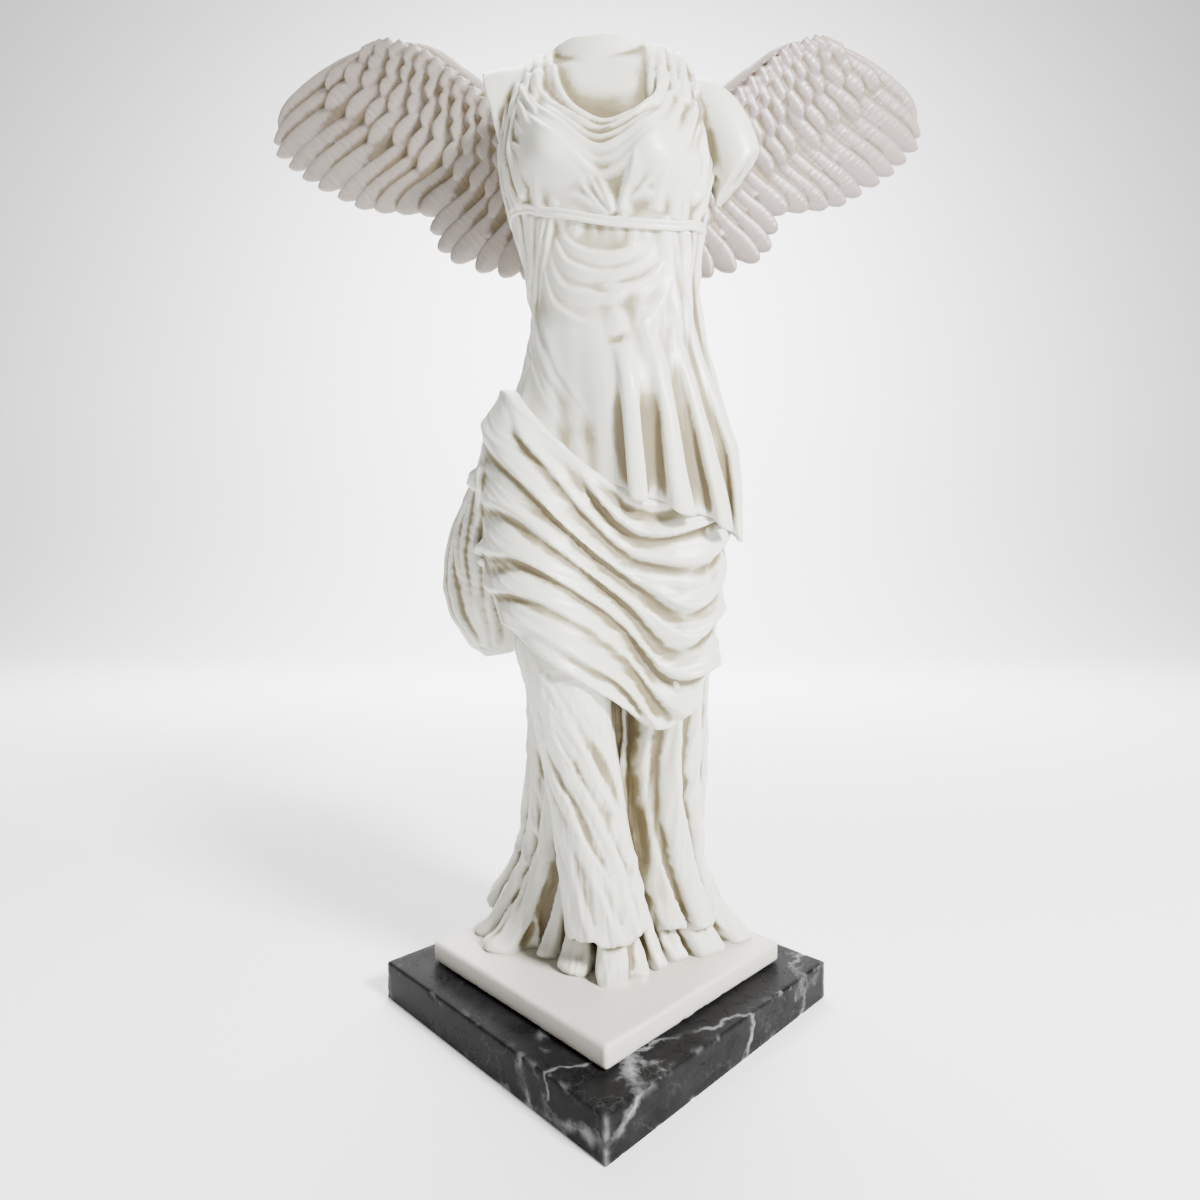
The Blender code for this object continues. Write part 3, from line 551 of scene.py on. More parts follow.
    def shut_in(self) -> np.ndarray:
        """Returns the share of the directions away from each point that soon meet the piece again."""
        faces = [tuple(face.vertices) for face in self.piece.data.polygons]
        tree = BVHTree.FromPolygons([Vector(p) for p in self.points], faces)
        tilts = [(0.0, 0.0), (0.7, 0.0), (-0.7, 0.0), (0.0, 0.8), (0.0, -0.8)]
        blocked = np.zeros(len(self.points))
        for k in range(0, len(self.points), 2):
            point, normal = Vector(self.points[k]), Vector(self.normals[k])
            side = normal.orthogonal().normalized()
            up = normal.cross(side)
            start = point + normal * 0.6
            hits = sum(
                tree.ray_cast(start, normal + side * a + up * b, self.probe)[0] is not None for a, b in tilts
            )
            blocked[k] = 2 * hits / len(tilts)
        return self.averaged(blocked, 6)


def finish_piece(
    piece: bpy.types.Object, material: bpy.types.Material, nodes: Sequence[str]
) -> None:
    """Shades a piece smooth, dresses it and ties it to the frame.

    Args:
        piece: The piece.
        material: Its finish.
        nodes: The CAD nodes that it stands for.
    """
    alone(piece)
    bpy.ops.object.shade_smooth()
    piece.data.materials.clear()
    piece.data.materials.append(material)
    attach(piece, "root")
    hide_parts(*nodes)
    triangles = sum(len(face.vertices) - 2 for face in piece.data.polygons)
    log.info("%s: %d triangles", piece.name, triangles)


def thin_out(piece: bpy.types.Object, most: int = MOST_TRIANGLES) -> None:
    """Thins a piece's mesh to a number of triangles, where it has more."""
    triangles = 2 * len(piece.data.polygons)
    if triangles > most:
        applied(piece, "DECIMATE", ratio=most / triangles, use_collapse_triangulate=True)


# Finishes


Number = float | int
Colour = tuple[float, float, float]
Settings = dict[str, object]
Inputs = dict[str | int, object]


class Graph:
    """A material's nodes."""

    def __init__(self, name: str, roughness: float) -> None:
        """Makes the material.

        Args:
            name: Its name.
            roughness: The shader's roughness, until something else feeds it.
        """
        self.material = bpy.data.materials.new(name)
        self.material.use_nodes = True
        self.tree = self.material.node_tree
        self.shader = self.tree.nodes["Principled BSDF"]
        self.shader.inputs["Roughness"].default_value = roughness

    def node(
        self, kind: str, settings: Settings | None = None, inputs: Inputs | None = None
    ) -> bpy.types.Node:
        """Adds a node.

        Args:
            kind: Its type, without ShaderNode in front.
            settings: Its properties; stops gives a ramp's places and colours.
            inputs: Values or wires for its sockets, by name or number.

        Returns:
            The node.
        """
        made = self.tree.nodes.new("ShaderNode" + kind)
        for name, value in (settings or {}).items():
            if name == "stops":
                for stop, (place, colour) in zip(made.color_ramp.elements, value):
                    stop.position = place
                    stop.color = colour
            else:
                setattr(made, name, value)
        for name, value in (inputs or {}).items():
            self.feed(made, name, value)
        return made

    def feed(self, node: bpy.types.Node, name: str | int, value: object) -> None:
        """Links a wire to a node's socket, or sets the socket's value."""
        if isinstance(value, Wire):
            self.tree.links.new(value.socket, node.inputs[name])
        else:
            node.inputs[name].default_value = value

    def place(self) -> "Wire":
        """Returns the place on the object, in metres."""
        return Wire(self, self.node("TexCoord").outputs["Object"])

    def cloud(self, place: "Wire", scale: float, detail: float = 3.0, roughness: float = 0.5) -> "Wire":
        """Returns noise from 0 to 1, with `scale` cells to the metre."""
        inputs = {"Vector": place, "Scale": scale, "Detail": detail, "Roughness": roughness}
        return Wire(self, self.node("TexNoise", None, inputs).outputs["Fac"])

    def mix(self, factor: "Wire", low: object, high: object) -> "Wire":
        """Returns a colour that goes from low to high as the factor goes from 0 to 1."""
        made = self.node("Mix", {"data_type": "RGBA"}, {0: factor, 6: low, 7: high})
        return Wire(self, made.outputs[2])

    def bump(self, height: "Wire", distance: float, strength: float) -> None:
        """Feeds the shader's normal with a height."""
        made = self.node("Bump", None, {"Height": height, "Distance": distance, "Strength": strength})
        self.feed(self.shader, "Normal", Wire(self, made.outputs["Normal"]))


class Wire:
    """A number that varies over a surface, and takes part in sums."""

    def __init__(self, graph: Graph, socket: bpy.types.NodeSocket) -> None:
        """Takes the socket that gives the number."""
        self.graph = graph
        self.socket = socket

    def maths(self, operation: str, *values: "Wire | Number", clamp: bool = False) -> "Wire":
        """Returns what a Math node makes of values."""
        settings = {"operation": operation, "use_clamp": clamp}
        return Wire(self.graph, self.graph.node("Math", settings, dict(enumerate(values))).outputs[0])

    def __add__(self, other: "Wire | Number") -> "Wire":
        """Adds."""
        return self.maths("ADD", self, other)

    def __mul__(self, other: "Wire | Number") -> "Wire":
        """Multiplies."""
        return self.maths("MULTIPLY", self, other)

    def __sub__(self, other: "Wire | Number") -> "Wire":
        """Subtracts."""
        return self.maths("SUBTRACT", self, other)

    def __rsub__(self, other: Number) -> "Wire":
        """Subtracts from a number."""
        return self.maths("SUBTRACT", other, self)

    def __pow__(self, power: float) -> "Wire":
        """Raises to a power."""
        return self.maths("POWER", self, power)

    __radd__ = __add__
    __rmul__ = __mul__

    def held(self) -> "Wire":
        """Returns the number held between 0 and 1."""
        return self.maths("ADD", self, 0.0, clamp=True)

    def size(self) -> "Wire":
        """Returns the number without its sign."""
        return self.maths("ABSOLUTE", self)


@dataclass(frozen=True)
class CastMarble:
    """Pale marble powder and resin: satin, a little waxy, and darker in its recesses, where its patina and
    painted shade are mixed into the colour.
    """

    name: str
    light: Colour
    # The colours of the hollows, patina and painted shade, the second one for the deepest hollows.
    patina_and_shade_tint: Colour
    deep: Colour = (0.15, 0.117, 0.060)
    roughness: float = 0.38
    cloud_scale: float = 38.0
    grain_scale: float = 420.0
    pore_scale: float = 1500.0
    relief: float = 0.0002
    waxy: float = 0.12
    wax_colour: Colour = (1.0, 0.8, 0.55)
    wax_depth: float = 0.0012

    def build(self) -> bpy.types.Material:
        """Makes the material; it reads the point attribute of patina and painted shade in the hollows."""
        graph = Graph(self.name, self.roughness)
        place = graph.place()
        clouds = graph.cloud(place, self.cloud_scale, 2.0)
        grain = graph.cloud(place, self.grain_scale, 4.0, 0.6)
        pores = graph.cloud(place, self.pore_scale, 1.0)
        patina_and_shade = Wire(graph, graph.node("Attribute", {"attribute_name": "patina_and_shade"}).outputs["Fac"])
        # Painted shade, with some patina: the hollows' attribute darkens the colour towards the hollow
        # colour and then the deepest one.
        depth = (patina_and_shade * (0.8 + 0.5 * clouds) + 0.16 * (grain - 0.5) * patina_and_shade).held()
        shade = (clouds - 0.42).held() * 0.5
        pale = graph.mix(shade, (*self.light, 1.0), (*(0.92 * c for c in self.light), 1.0))
        toned = graph.mix((depth * 1.7).held(), pale, (*self.patina_and_shade_tint, 1.0))
        colour = graph.mix(((depth - 0.5) * 1.8).held(), toned, (*self.deep, 1.0))
        graph.feed(graph.shader, "Base Color", colour)
        graph.feed(graph.shader, "Roughness", (self.roughness - 0.05) + 0.12 * clouds + 0.16 * depth)
        graph.bump(0.7 * grain + 0.3 * pores, self.relief, 0.2)
        graph.shader.inputs["Subsurface Weight"].default_value = self.waxy
        graph.shader.inputs["Subsurface Radius"].default_value = self.wax_colour
        graph.shader.inputs["Subsurface Scale"].default_value = self.wax_depth
        return graph.material


@dataclass(frozen=True)
class Vein:
    """A sheet of pale calcite through the black stone."""

    normal: Colour
    offset: float
    width: float
    strength: float
    wander: float = 0.010


@dataclass(frozen=True)
class BlackMarble:
    """Charcoal marble, mottled, with a few broken pale veins and pale worn edges."""

    name: str = "black_marble"
    dark: Colour = (0.006, 0.006, 0.0065)
    mottle: Colour = (0.020, 0.0196, 0.0188)
    vein: Colour = (0.30, 0.30, 0.31)
    shine: float = 0.03
    relief: float = 0.00008
    warp_scale: float = 55.0
    mottle_scale: float = 90.0
    break_scale: float = 60.0
    ragged_scale: float = 330.0
    hair_scale: float = 34.0
    hair_strength: float = 0.07
    wear_strength: float = 0.6
    veins: tuple[Vein, ...] = (
        Vein((-0.677, 0.526, -0.514), -0.0182, 0.0026, 0.75, 0.005),
        Vein((0.643, -0.193, 0.740), 0.0066, 0.0018, 0.65, 0.006),
        Vein((-0.362, -0.164, 0.918), 0.0194, 0.0026, 0.75, 0.004),
        Vein((-0.406, 0.914, 0.050), -0.0533, 0.0012, 0.7, 0.004),
        Vein((0.93, -0.30, 0.20), 0.072, 0.0030, 0.5, 0.010),
    )

    def build(self) -> bpy.types.Material:
        """Makes the material."""
        graph = Graph(self.name, 0.3)
        place = graph.place()
        warp = self.warp(graph, place)
        mottle = (graph.cloud(place, self.mottle_scale, 6.0, 0.68) - 0.36).held() * 1.7
        breaks = graph.cloud(place, self.break_scale, 2.0)
        ragged = graph.cloud(place, self.ragged_scale, 5.0, 0.7)
        lines: Wire | None = None
        for vein in self.veins:
            across = self.across(graph, place, warp, vein)
            line = (1.1 - across * (1.0 / vein.width) - 2.2 * (ragged - 0.45).held()).held() ** 1.3
            line = line * (vein.strength * ((breaks - 0.36).held() * 4.0).held())
            lines = line if lines is None else lines.maths("MAXIMUM", lines, line)
        hair = (1.0 - (graph.cloud(place, self.hair_scale, 5.0, 0.6) - 0.5).size() * 95.0).held()
        hair = hair * self.hair_strength
        pale = lines.maths("MAXIMUM", lines, hair * (breaks - 0.38).held() * 4.0).held()
        worn = Wire(graph, graph.node("Attribute", {"attribute_name": "worn"}).outputs["Fac"])
        pale = pale.maths("MAXIMUM", pale, (worn * self.wear_strength).held())
        stone = graph.mix(mottle.held(), (*self.dark, 1.0), (*self.mottle, 1.0))
        graph.feed(graph.shader, "Base Color", graph.mix(pale, stone, (*self.vein, 1.0)))
        graph.feed(graph.shader, "Roughness", 0.26 + 0.12 * mottle + 0.2 * pale)
        graph.shader.inputs["Specular IOR Level"].default_value = self.shine
        graph.bump(mottle + pale, self.relief, 0.25)
        return graph.material

    def warp(self, graph: Graph, place: Wire) -> Wire:
        """Returns the vector that makes the veins wander."""
        inputs = {"Vector": place, "Scale": self.warp_scale, "Detail": 4.0, "Roughness": 0.62}
        cloud = Wire(graph, graph.node("TexNoise", None, inputs).outputs["Color"])
        centred = graph.node("VectorMath", {"operation": "SUBTRACT"}, {0: cloud, 1: (0.5, 0.5, 0.5)})
        return Wire(graph, centred.outputs[0])

    def across(self, graph: Graph, place: Wire, warp: Wire, vein: Vein) -> Wire:
        """Returns the distance from a vein's wandering sheet.

        Args:
            graph: The material's nodes.
            place: The place on the object.
            warp: The vector that makes the sheet wander.
            vein: The vein.

        Returns:
            The distance in metres.
        """
        length = math.sqrt(sum(c * c for c in vein.normal))
        normal = tuple(c / length for c in vein.normal)
        inputs = {0: warp, 1: (vein.wander * 4,) * 3, 2: place}
        moved = Wire(graph, graph.node("VectorMath", {"operation": "MULTIPLY_ADD"}, inputs).outputs[0])
        along = graph.node("VectorMath", {"operation": "DOT_PRODUCT"}, {0: moved, 1: normal})
        return (Wire(graph, along.outputs["Value"]) - vein.offset).size()


def plain(name: str, colour: Colour, roughness: float, glow: float) -> bpy.types.Material:
    """Returns a material for the stage, in one colour and with a little light of its own."""
    graph = Graph(name, roughness)
    graph.shader.inputs["Base Color"].default_value = (*colour, 1.0)
    graph.shader.inputs["Emission Color"].default_value = (*colour, 1.0)
    graph.shader.inputs["Emission Strength"].default_value = glow
    return graph.material


# The figure


@dataclass(frozen=True)
class BareFigure:
    """The figure under its clothes: lofts of centre, half width, depth in front and depth behind."""

    torso: Rows = (
        (2.0, 3.0, 192.0, 42.0, 25.0, 30.0),
        (2.0, 2.0, 212.0, 42.5, 26.0, 31.0),
        (3.0, 1.0, 228.0, 38.0, 25.0, 27.0),
        (3.5, 0.0, 246.0, 32.5, 23.0, 22.0),
        (3.5, 0.0, 264.0, 30.0, 21.0, 19.0),
        (2.5, 0.0, 282.0, 31.5, 21.5, 20.0),
        (1.5, 0.0, 298.0, 35.0, 22.0, 23.0),
        (0.5, 1.0, 314.0, 38.0, 22.0, 26.0),
        (-0.5, 2.0, 330.0, 39.0, 20.0, 25.0),
        (-1.5, 3.0, 345.0, 38.5, 17.5, 20.0),
        (-2.0, 4.0, 356.0, 35.5, 14.5, 16.0),
        (-2.5, 4.0, 364.0, 29.0, 10.0, 12.0),
    )
    neck: Rows = (
        (-2.5, 4.0, 340.0, 26.0, 18.0, 16.0),
        (-2.5, 4.0, 356.0, 22.5, 15.5, 15.0),
        (-3.0, 3.0, 367.0, 20.5, 14.0, 14.0),
    )
    left_arm: Rows = (
        (27.0, 4.0, 344.0, 13.0, 13.0, 13.0),
        (39.0, 3.0, 340.0, 13.0, 13.0, 13.0),
        (47.0, 2.0, 329.0, 11.5, 12.0, 12.0),
        (52.0, 2.0, 313.0, 10.0, 11.0, 11.0),
        (54.0, 2.0, 300.0, 10.0, 11.0, 11.0),
    )
    arm_cut: tuple[Colour, Colour] = ((52.0, 2.0, 317.0), (0.75, 0.0, -0.66))
    right_arm: Rows = (
        (-26.0, 4.0, 348.0, 13.0, 13.0, 13.0),
        (-37.0, 4.0, 347.0, 14.0, 14.0, 14.0),
        (-45.0, 4.0, 345.0, 14.5, 14.0, 14.0),
    )
    right_leg: Rows = (
        (-19.0, 0.0, 212.0, 22.0, 22.0, 22.0),
        (-20.0, -8.0, 180.0, 20.0, 20.0, 21.0),
        (-18.0, -18.0, 150.0, 16.5, 17.0, 19.0),
        (-13.5, -27.0, 126.0, 13.5, 14.5, 15.0),
        (-9.0, -21.0, 98.0, 12.5, 11.0, 15.0),
        (-3.5, -20.0, 66.0, 12.0, 10.0, 13.0),
        (0.5, -21.0, 37.0, 12.0, 9.5, 10.0),
    )
    left_leg: Rows = (
        (22.0, 2.0, 212.0, 20.5, 22.0, 23.0),
        (23.0, 0.0, 180.0, 19.0, 21.0, 22.0),
        (23.0, -2.0, 150.0, 17.0, 19.0, 19.0),
        (22.0, -4.0, 124.0, 14.0, 16.0, 15.0),
        (21.0, -1.0, 96.0, 13.5, 13.5, 15.0),
        (20.0, 1.0, 66.0, 12.0, 12.0, 13.0),
        (19.0, 1.0, 34.0, 11.0, 13.0, 13.0),
    )
    underskirt: Rows = (
        (3.0, 9.0, 19.0, 37.0, 19.0, 32.0),
        (2.0, 10.0, 34.0, 33.0, 19.0, 31.0),
        (1.0, 10.0, 52.0, 29.5, 17.0, 29.0),
        (0.0, 9.0, 76.0, 27.0, 14.0, 26.5),
        (0.0, 6.0, 104.0, 27.5, 13.0, 25.0),
        (0.0, 4.0, 134.0, 31.0, 15.0, 25.5),
        (1.0, 3.0, 164.0, 36.0, 20.0, 28.0),
        (1.0, 3.0, 194.0, 41.0, 25.0, 31.0),
        (2.0, 3.0, 214.0, 42.0, 25.0, 31.0),
    )
    strut: Rows = (
        (2.4, -30.0, 19.0, 5.4, 5.5, 6.0),
        (2.4, -28.0, 32.0, 5.0, 5.0, 6.0),
        (1.5, -24.0, 44.0, 5.0, 5.0, 6.0),
    )
    swellings: Rows = (
        (-18.0, 310.0, -1, 11.0, 14.5, 20.0, 11.0),
        (19.5, 309.0, -1, 11.5, 14.5, 20.0, 11.0),
        (3.0, 230.0, -1, 5.0, 19.0, 18.0, 14.0),
        (-18.0, 207.0, 1, 8.0, 15.0, 14.0, 14.0),
        (21.0, 207.0, 1, 8.0, 15.0, 14.0, 14.0),
        (4.0, 245.0, -1, -1.8, 2.4, 5.0, 4.0),
        (-17.0, 330.0, 1, 4.0, 12.0, 14.0, 14.0),
        (17.0, 330.0, 1, 4.0, 12.0, 14.0, 14.0),
    )
    turn: float = -6.0
    tilt: float = 0.05
    waist: float = 235.0
    breast: float = 330.0

    def swollen(self, points: np.ndarray) -> np.ndarray:
        """Returns the torso's points, pushed out by x, z, way, rise, half width, reach above and below."""
        moved = points.copy()
        for x, z, way, rise, half, above, below in self.swellings:
            up = moved[:, 2] - z
            up = up / np.where(up > 0, above, below)
            facing = (moved[:, 1] - AXIS[1]) * way > 0
            moved[:, 1] += way * rise * np.exp(-(((moved[:, 0] - x) / half) ** 2 + up**2)) * facing
        return moved

    def posed(self, points: np.ndarray) -> np.ndarray:
        """Returns points of the upper body with the chest turned and one shoulder lower."""
        share = smooth_step((points[:, 2] - self.waist) / (self.breast - self.waist))
        turn = np.radians(self.turn) * share
        x, y = points[:, 0] - AXIS[0], points[:, 1] - AXIS[1]
        moved = points.copy()
        moved[:, 0] = AXIS[0] + x * np.cos(turn) - y * np.sin(turn)
        moved[:, 1] = AXIS[1] + x * np.sin(turn) + y * np.cos(turn)
        moved[:, 2] -= self.tilt * x * share
        return moved

    def trunk(self) -> Body:
        """Returns the torso alone."""
        points, faces = loft(self.torso, around=120, rings=120, power=2.2)
        return self.posed(self.swollen(points)), faces

    def limbs(self) -> list[Body]:
        """Returns the neck and what is left of the arms."""
        bodies = [
            loft(self.neck, around=48, rings=16),
            loft(self.left_arm, around=40, rings=32),
            loft(self.right_arm, around=40, rings=16),
        ]
        bodies = [(self.posed(points), faces) for points, faces in bodies]
        points, faces = bodies[1]
        centre, way = (np.array(place) for place in self.arm_cut)
        beyond = np.maximum((points - centre) @ way, 0.0)
        bodies[1] = (points - beyond[:, None] * way, faces)
        return bodies

    def bent_leg(self) -> Body:
        """Returns the right leg, which is bent at the knee."""
        return loft(self.right_leg, around=64, rings=80)

    def straight_legs(self) -> list[Body]:
        """Returns the left leg and the body of the skirt."""
        return [
            loft(self.left_leg, around=48, rings=60),
            loft(self.underskirt, around=96, rings=90, power=2.1),
        ]


def sheet(outer: np.ndarray, thickness: np.ndarray) -> Body:
    """Gives a grid of points a thickness behind it.

    Args:
        outer: Points in rows from the top down, each row running towards larger angles.
        thickness: The thickness of each row.

    Returns:
        The sheet's points and faces.
    """
    down, across, _ = outer.shape
    normals = unit(np.cross(np.gradient(outer, axis=0), np.gradient(outer, axis=1)))
    inner = outer - normals * thickness[:, None, None]
    return shell(outer.reshape(-1, 3), inner.reshape(-1, 3), across, down)


def cord(skin: Skin, guide: Rows, around: int = 20, proud: float = 0.35) -> Body:
    """Lays a rounded roll of cloth on a surface.

    Args:
        skin: The surface.
        guide: Angle, height and radius along the roll.
        around: Points round the roll.
        proud: How far its middle stands off the surface, as a share of its radius.

    Returns:
        The roll's points and faces.
    """
    count = 140
    rows = []
    for angle, height, radius in smooth_rows(guide, count):
        hit, normal = skin.at((angle, height))
        rows.append((*(hit + normal * radius * proud), radius, radius, radius))
    middle = rows[count // 2]
    ahead = unit(np.array([middle[0] - AXIS[0], middle[1] - AXIS[1], 0.0]))
    return loft(rows, front=ahead, around=around, rings=count)


def tucked(phase: np.ndarray, crest: float = 0.72, sharp: float = 1.5) -> np.ndarray:
    """Returns the height, from 0 to 1, of folds that lap over each other, one to each unit of the phase."""
    place = phase - np.floor(phase)
    return np.minimum((place / crest) ** sharp, np.clip((1 - place) / (1 - crest), 0, 1) ** 1.2)


def draped(skin: Skin, angles: np.ndarray, heights: np.ndarray, rounds: int = 8) -> np.ndarray:
    """Draws a cloth taut over a surface, so that it bridges the hollows.

    Args:
        skin: The surface.
        angles: The angles of a grid of places round the figure.
        heights: Their heights.
        rounds: How often the cloth is stretched.

    Returns:
        The cloth's distance from the axis at each place.
    """
    down, across = angles.shape
    radii = np.zeros((down, across))
    for j in range(down):
        for i in range(across):
            hit, _ = skin.at((angles[j, i], heights[j, i]))
            radii[j, i] = math.hypot(hit.x - AXIS[0], hit.y - AXIS[1])
    for _ in range(rounds):
        radii = np.maximum(radii, blurred(radii, max(across // 60, 2), 2))
    return blurred(radii, max(across // 160, 1), 1)


def blurred(grid: np.ndarray, wide: int, rounds: int) -> np.ndarray:
    """Returns a grid averaged over a few cells along its rows, and over one cell down its columns."""
    for _ in range(rounds):
        padded = np.pad(grid, ((1, 1), (wide, wide)), mode="edge")
        rows = sum(padded[:, k:k + grid.shape[1]] for k in range(2 * wide + 1)) / (2 * wide + 1)
        grid = (rows[:-2] + 2 * rows[1:-1] + rows[2:]) / 4
    return grid


def on_axis(angles: np.ndarray, radii: np.ndarray, heights: np.ndarray) -> np.ndarray:
    """Returns the points at angles, distances from the axis and heights."""
    turn = np.radians(angles)
    return np.stack([AXIS[0] + np.sin(turn) * radii, AXIS[1] - np.cos(turn) * radii, heights], -1)


@dataclass(frozen=True)
class DrapedTorso:
    """Neck, arms, bodice and the overfold that hangs from the belt to the hips."""

    voxel: float = 0.62
    bodice_top: Rows = (
        (-180, 352, 1), (-90, 350, 1), (-62, 350, 1), (-44, 339, 1.5), (-24, 327, 1.8), (0, 321, 2),
        (24, 326, 1.8), (44, 337, 1.5), (62, 347, 1), (90, 346, 1), (180, 352, 1),
    )
    bodice_foot: Rows = (
        (-180, 298, 1.6), (-80, 300, 1.6), (-40, 293, 1.8), (0, 288, 2), (40, 288, 1.8), (80, 294, 1.6),
        (180, 298, 1.6),
    )
    neckline: Rows = (
        (-58, 354, 1.2), (-45, 341, 1.6), (-25, 328, 1.9), (0, 322, 2.1), (25, 327, 1.9), (43, 339, 1.6),
        (52, 352, 1.2),
    )
    straps: Rows = (
        (-22.0, 0.06, 1.7), (-25.5, 0.02, 2.3), (-29.0, -0.03, 1.9), (-32.0, -0.08, 2.5),
        (-35.5, -0.13, 2.0), (-38.5, -0.2, 2.2),
        (17.5, -0.06, 1.7), (20.5, -0.02, 2.2), (24.0, 0.03, 1.9), (27.0, 0.08, 2.4),
        (30.5, 0.14, 1.9), (33.5, 0.2, 2.1),
    )
    overfold_top: Rows = ((-180, 298), (-80, 300), (-40, 293), (0, 288), (40, 288), (80, 294), (180, 298))
    overfold_hem: Rows = (
        (-180, 206, 1.5), (-96, 203, 1.0), (-66, 203, 0.6), (-40, 199, 0.6), (-14, 193, 1.2), (6, 193, 3.8),
        (30, 189, 5.5), (56, 183, 5.8), (82, 180, 5.0), (104, 186, 4.5), (130, 200, 3.0), (180, 206, 1.5),
    )
    pleat_width: float = 20.0

    def build(self, figure: BareFigure, skin: Skin) -> bpy.types.Object:
        """Makes the piece.

        Args:
            figure: The figure under the clothes.
            skin: Its surface.

        Returns:
            The piece.
        """
        chest = Skin(figure.trunk())
        bodice = self.bodice(chest)
        clothes = [figure.trunk(), bodice, cord(chest, self.neckline, proud=0.5), self.overfold(skin)]
        clay = Clay("draped_torso")
        clay.add(*clothes, *figure.limbs(), *self.shoulder_straps(chest))
        piece = clay.fuse(self.voxel, 3)
        surface = Surface(piece)
        surface.draw(self.chest_folds() + self.body_folds(), Skin(joined(clothes)))
        surface.shift += self.pleated_sides(surface)
        surface.press()
        self.break_ends(piece)
        thin_out(piece)
        Surface(piece).patina_and_shade()
        return piece

    def bodice(self, chest: Skin) -> Body:
        """Makes the cloth over the breast, drawn taut from one side to the other.

        Args:
            chest: The surface of the torso.

        Returns:
            The cloth.
        """
        across, down = 300, 70
        upper, lower = smooth_rows(self.bodice_top, across), smooth_rows(self.bodice_foot, across)
        share = np.linspace(0, 1, down)[:, None]
        angles, heights, lift = (upper[:, k] * (1 - share) + lower[:, k] * share for k in range(3))
        radii = draped(chest, angles, heights, 7)
        outer, inner = on_axis(angles, radii + lift, heights), on_axis(angles, radii - 5.0, heights)
        return shell(outer.reshape(-1, 3), inner.reshape(-1, 3), across, down)

    def shoulder_straps(self, chest: Skin) -> list[Body]:
        """Makes the pleats of cloth that run over each shoulder.

        Args:
            chest: The surface of the torso.

        Returns:
            The pleats.
        """
        made = []
        turns = np.radians(np.linspace(-112, 108, 40))
        for x, drift, radius in self.straps:
            rows = []
            for turn in turns:
                hit = chest.over_shoulder(x, drift, turn)
                thin = radius * (1 - 0.75 * smooth_step((abs(turn) - 1.1) / 0.85))
                if hit is not None:
                    rows.append((*hit, thin, thin, thin))
            made.append(loft(rows, front=(math.copysign(0.8, x), 0.0, 0.6), around=16, rings=60))
        return made

    def overfold(self, skin: Skin) -> Body:
        """Makes the sheet from belt to hips. Its hem is pleated, deep and hollow at the left hip.

        Args:
            skin: The surface of the bare figure.

        Returns:
            The sheet.
        """
        across, down = 620, 90
        upper, lower = smooth_rows(self.overfold_top, across), smooth_rows(self.overfold_hem, across)
        share = np.linspace(0, 1, down)[:, None]
        foot = lower[:, 0]
        uneven = 46 * np.sin(np.radians(2.3 * foot)) + 30 * np.sin(np.radians(5.1 * foot + 40))
        phase = np.radians(360 * foot / self.pleat_width + uneven)
        deep = 0.4 + 4.6 * window(foot, 14, 112, 14) + 1.5 * np.minimum(np.abs(foot) / 120, 1) ** 2
        crest = (0.5 + 0.5 * np.cos(phase)) ** 1.25
        grown = smooth_step((share - 0.12) / 0.88) ** 1.1
        angles = upper[:, 0] * (1 - share) + foot * share + 0.5 * deep * np.sin(2 * phase) * grown**1.6
        heights = upper[:, 1] * (1 - share) + lower[:, 1] * share - 0.7 * deep * crest * grown
        radii = draped(skin, angles, heights, 5)
        lift = 1.6 + (lower[:, 2] - 1.6) * grown + deep * crest * grown
        return sheet(on_axis(angles, radii + lift, heights), 4.2 - 2.4 * share[:, 0])

    def chest_folds(self) -> list[Fold]:
        """Returns the bodice's folds: neckline, shoulders, sides, belt and the space between the breasts."""
        folds = []
        for k in range(6):
            guide = (
                (-25 - 2.2 * k, 355), (-22.5 - 1.7 * k, 339 - 1.6 * k), (-14 - 1.2 * k, 327.5 - 2.6 * k),
                (-3, 320 - 4.2 * k), (8 + 0.9 * k, 323.5 - 3.3 * k), (17.5 + 1.5 * k, 334 - 1.9 * k),
                (21 + 2.1 * k, 353),
            )
            width, height = 3.2 + 0.45 * k, 2.2 - 0.17 * k - (0.6 if k % 2 else 0.0)
            folds.append(Fold(guide, width, height, View.FRONT, 0.06, 0.06, 1.5, 0.35))
        long = Fold((), 4.0, 1.9, View.FRONT, 0.05, 0.5, 1.6, 0.3)
        folds += spread(
            ((-42, 350), (-41, 328), (-36, 308), (-31, 294)),
            ((-30, 348), (-27, 332), (-21, 318), (-9, 299)),
            6, long, 1.3, 0.6,
        )
        folds += spread(
            ((39, 348), (39, 326), (36, 308), (32, 292)),
            ((28, 346), (27, 331), (21, 316), (10, 297)),
            6, long, 1.3, 0.6,
        )
        side = Fold((), 3.6, 2.0, fade_in=0.1, fade_out=0.1, sharp=1.5, lean=0.2)
        near = ((-62, 348), (-66, 328), (-60, 308), (-50, 293))
        far = ((-94, 348), (-92, 330), (-86, 308), (-80, 294))
        folds += spread(near, far, 6, side, 1.6, 0.9)
        folds += spread(mirrored(near), mirrored(far), 6, side, 1.6, 0.9)
        gather = Fold((), 3.2, 1.2, View.FRONT, 0.03, 0.9, 1.5)
        folds += spread(
            ((-34, 296), (-35, 310), (-31, 332)), ((-18, 294), (-20, 304), (-22, 320)), 4, gather, 1.4, 0.4
        )
        folds += spread(
            ((34, 290), (35, 306), (31, 328)), ((20, 290), (22, 301), (24, 318)), 4, gather, 1.4, 0.4
        )
        fan = Fold((), 4.0, 1.9, View.FRONT, 0.03, 0.75, 1.6, 0.3)
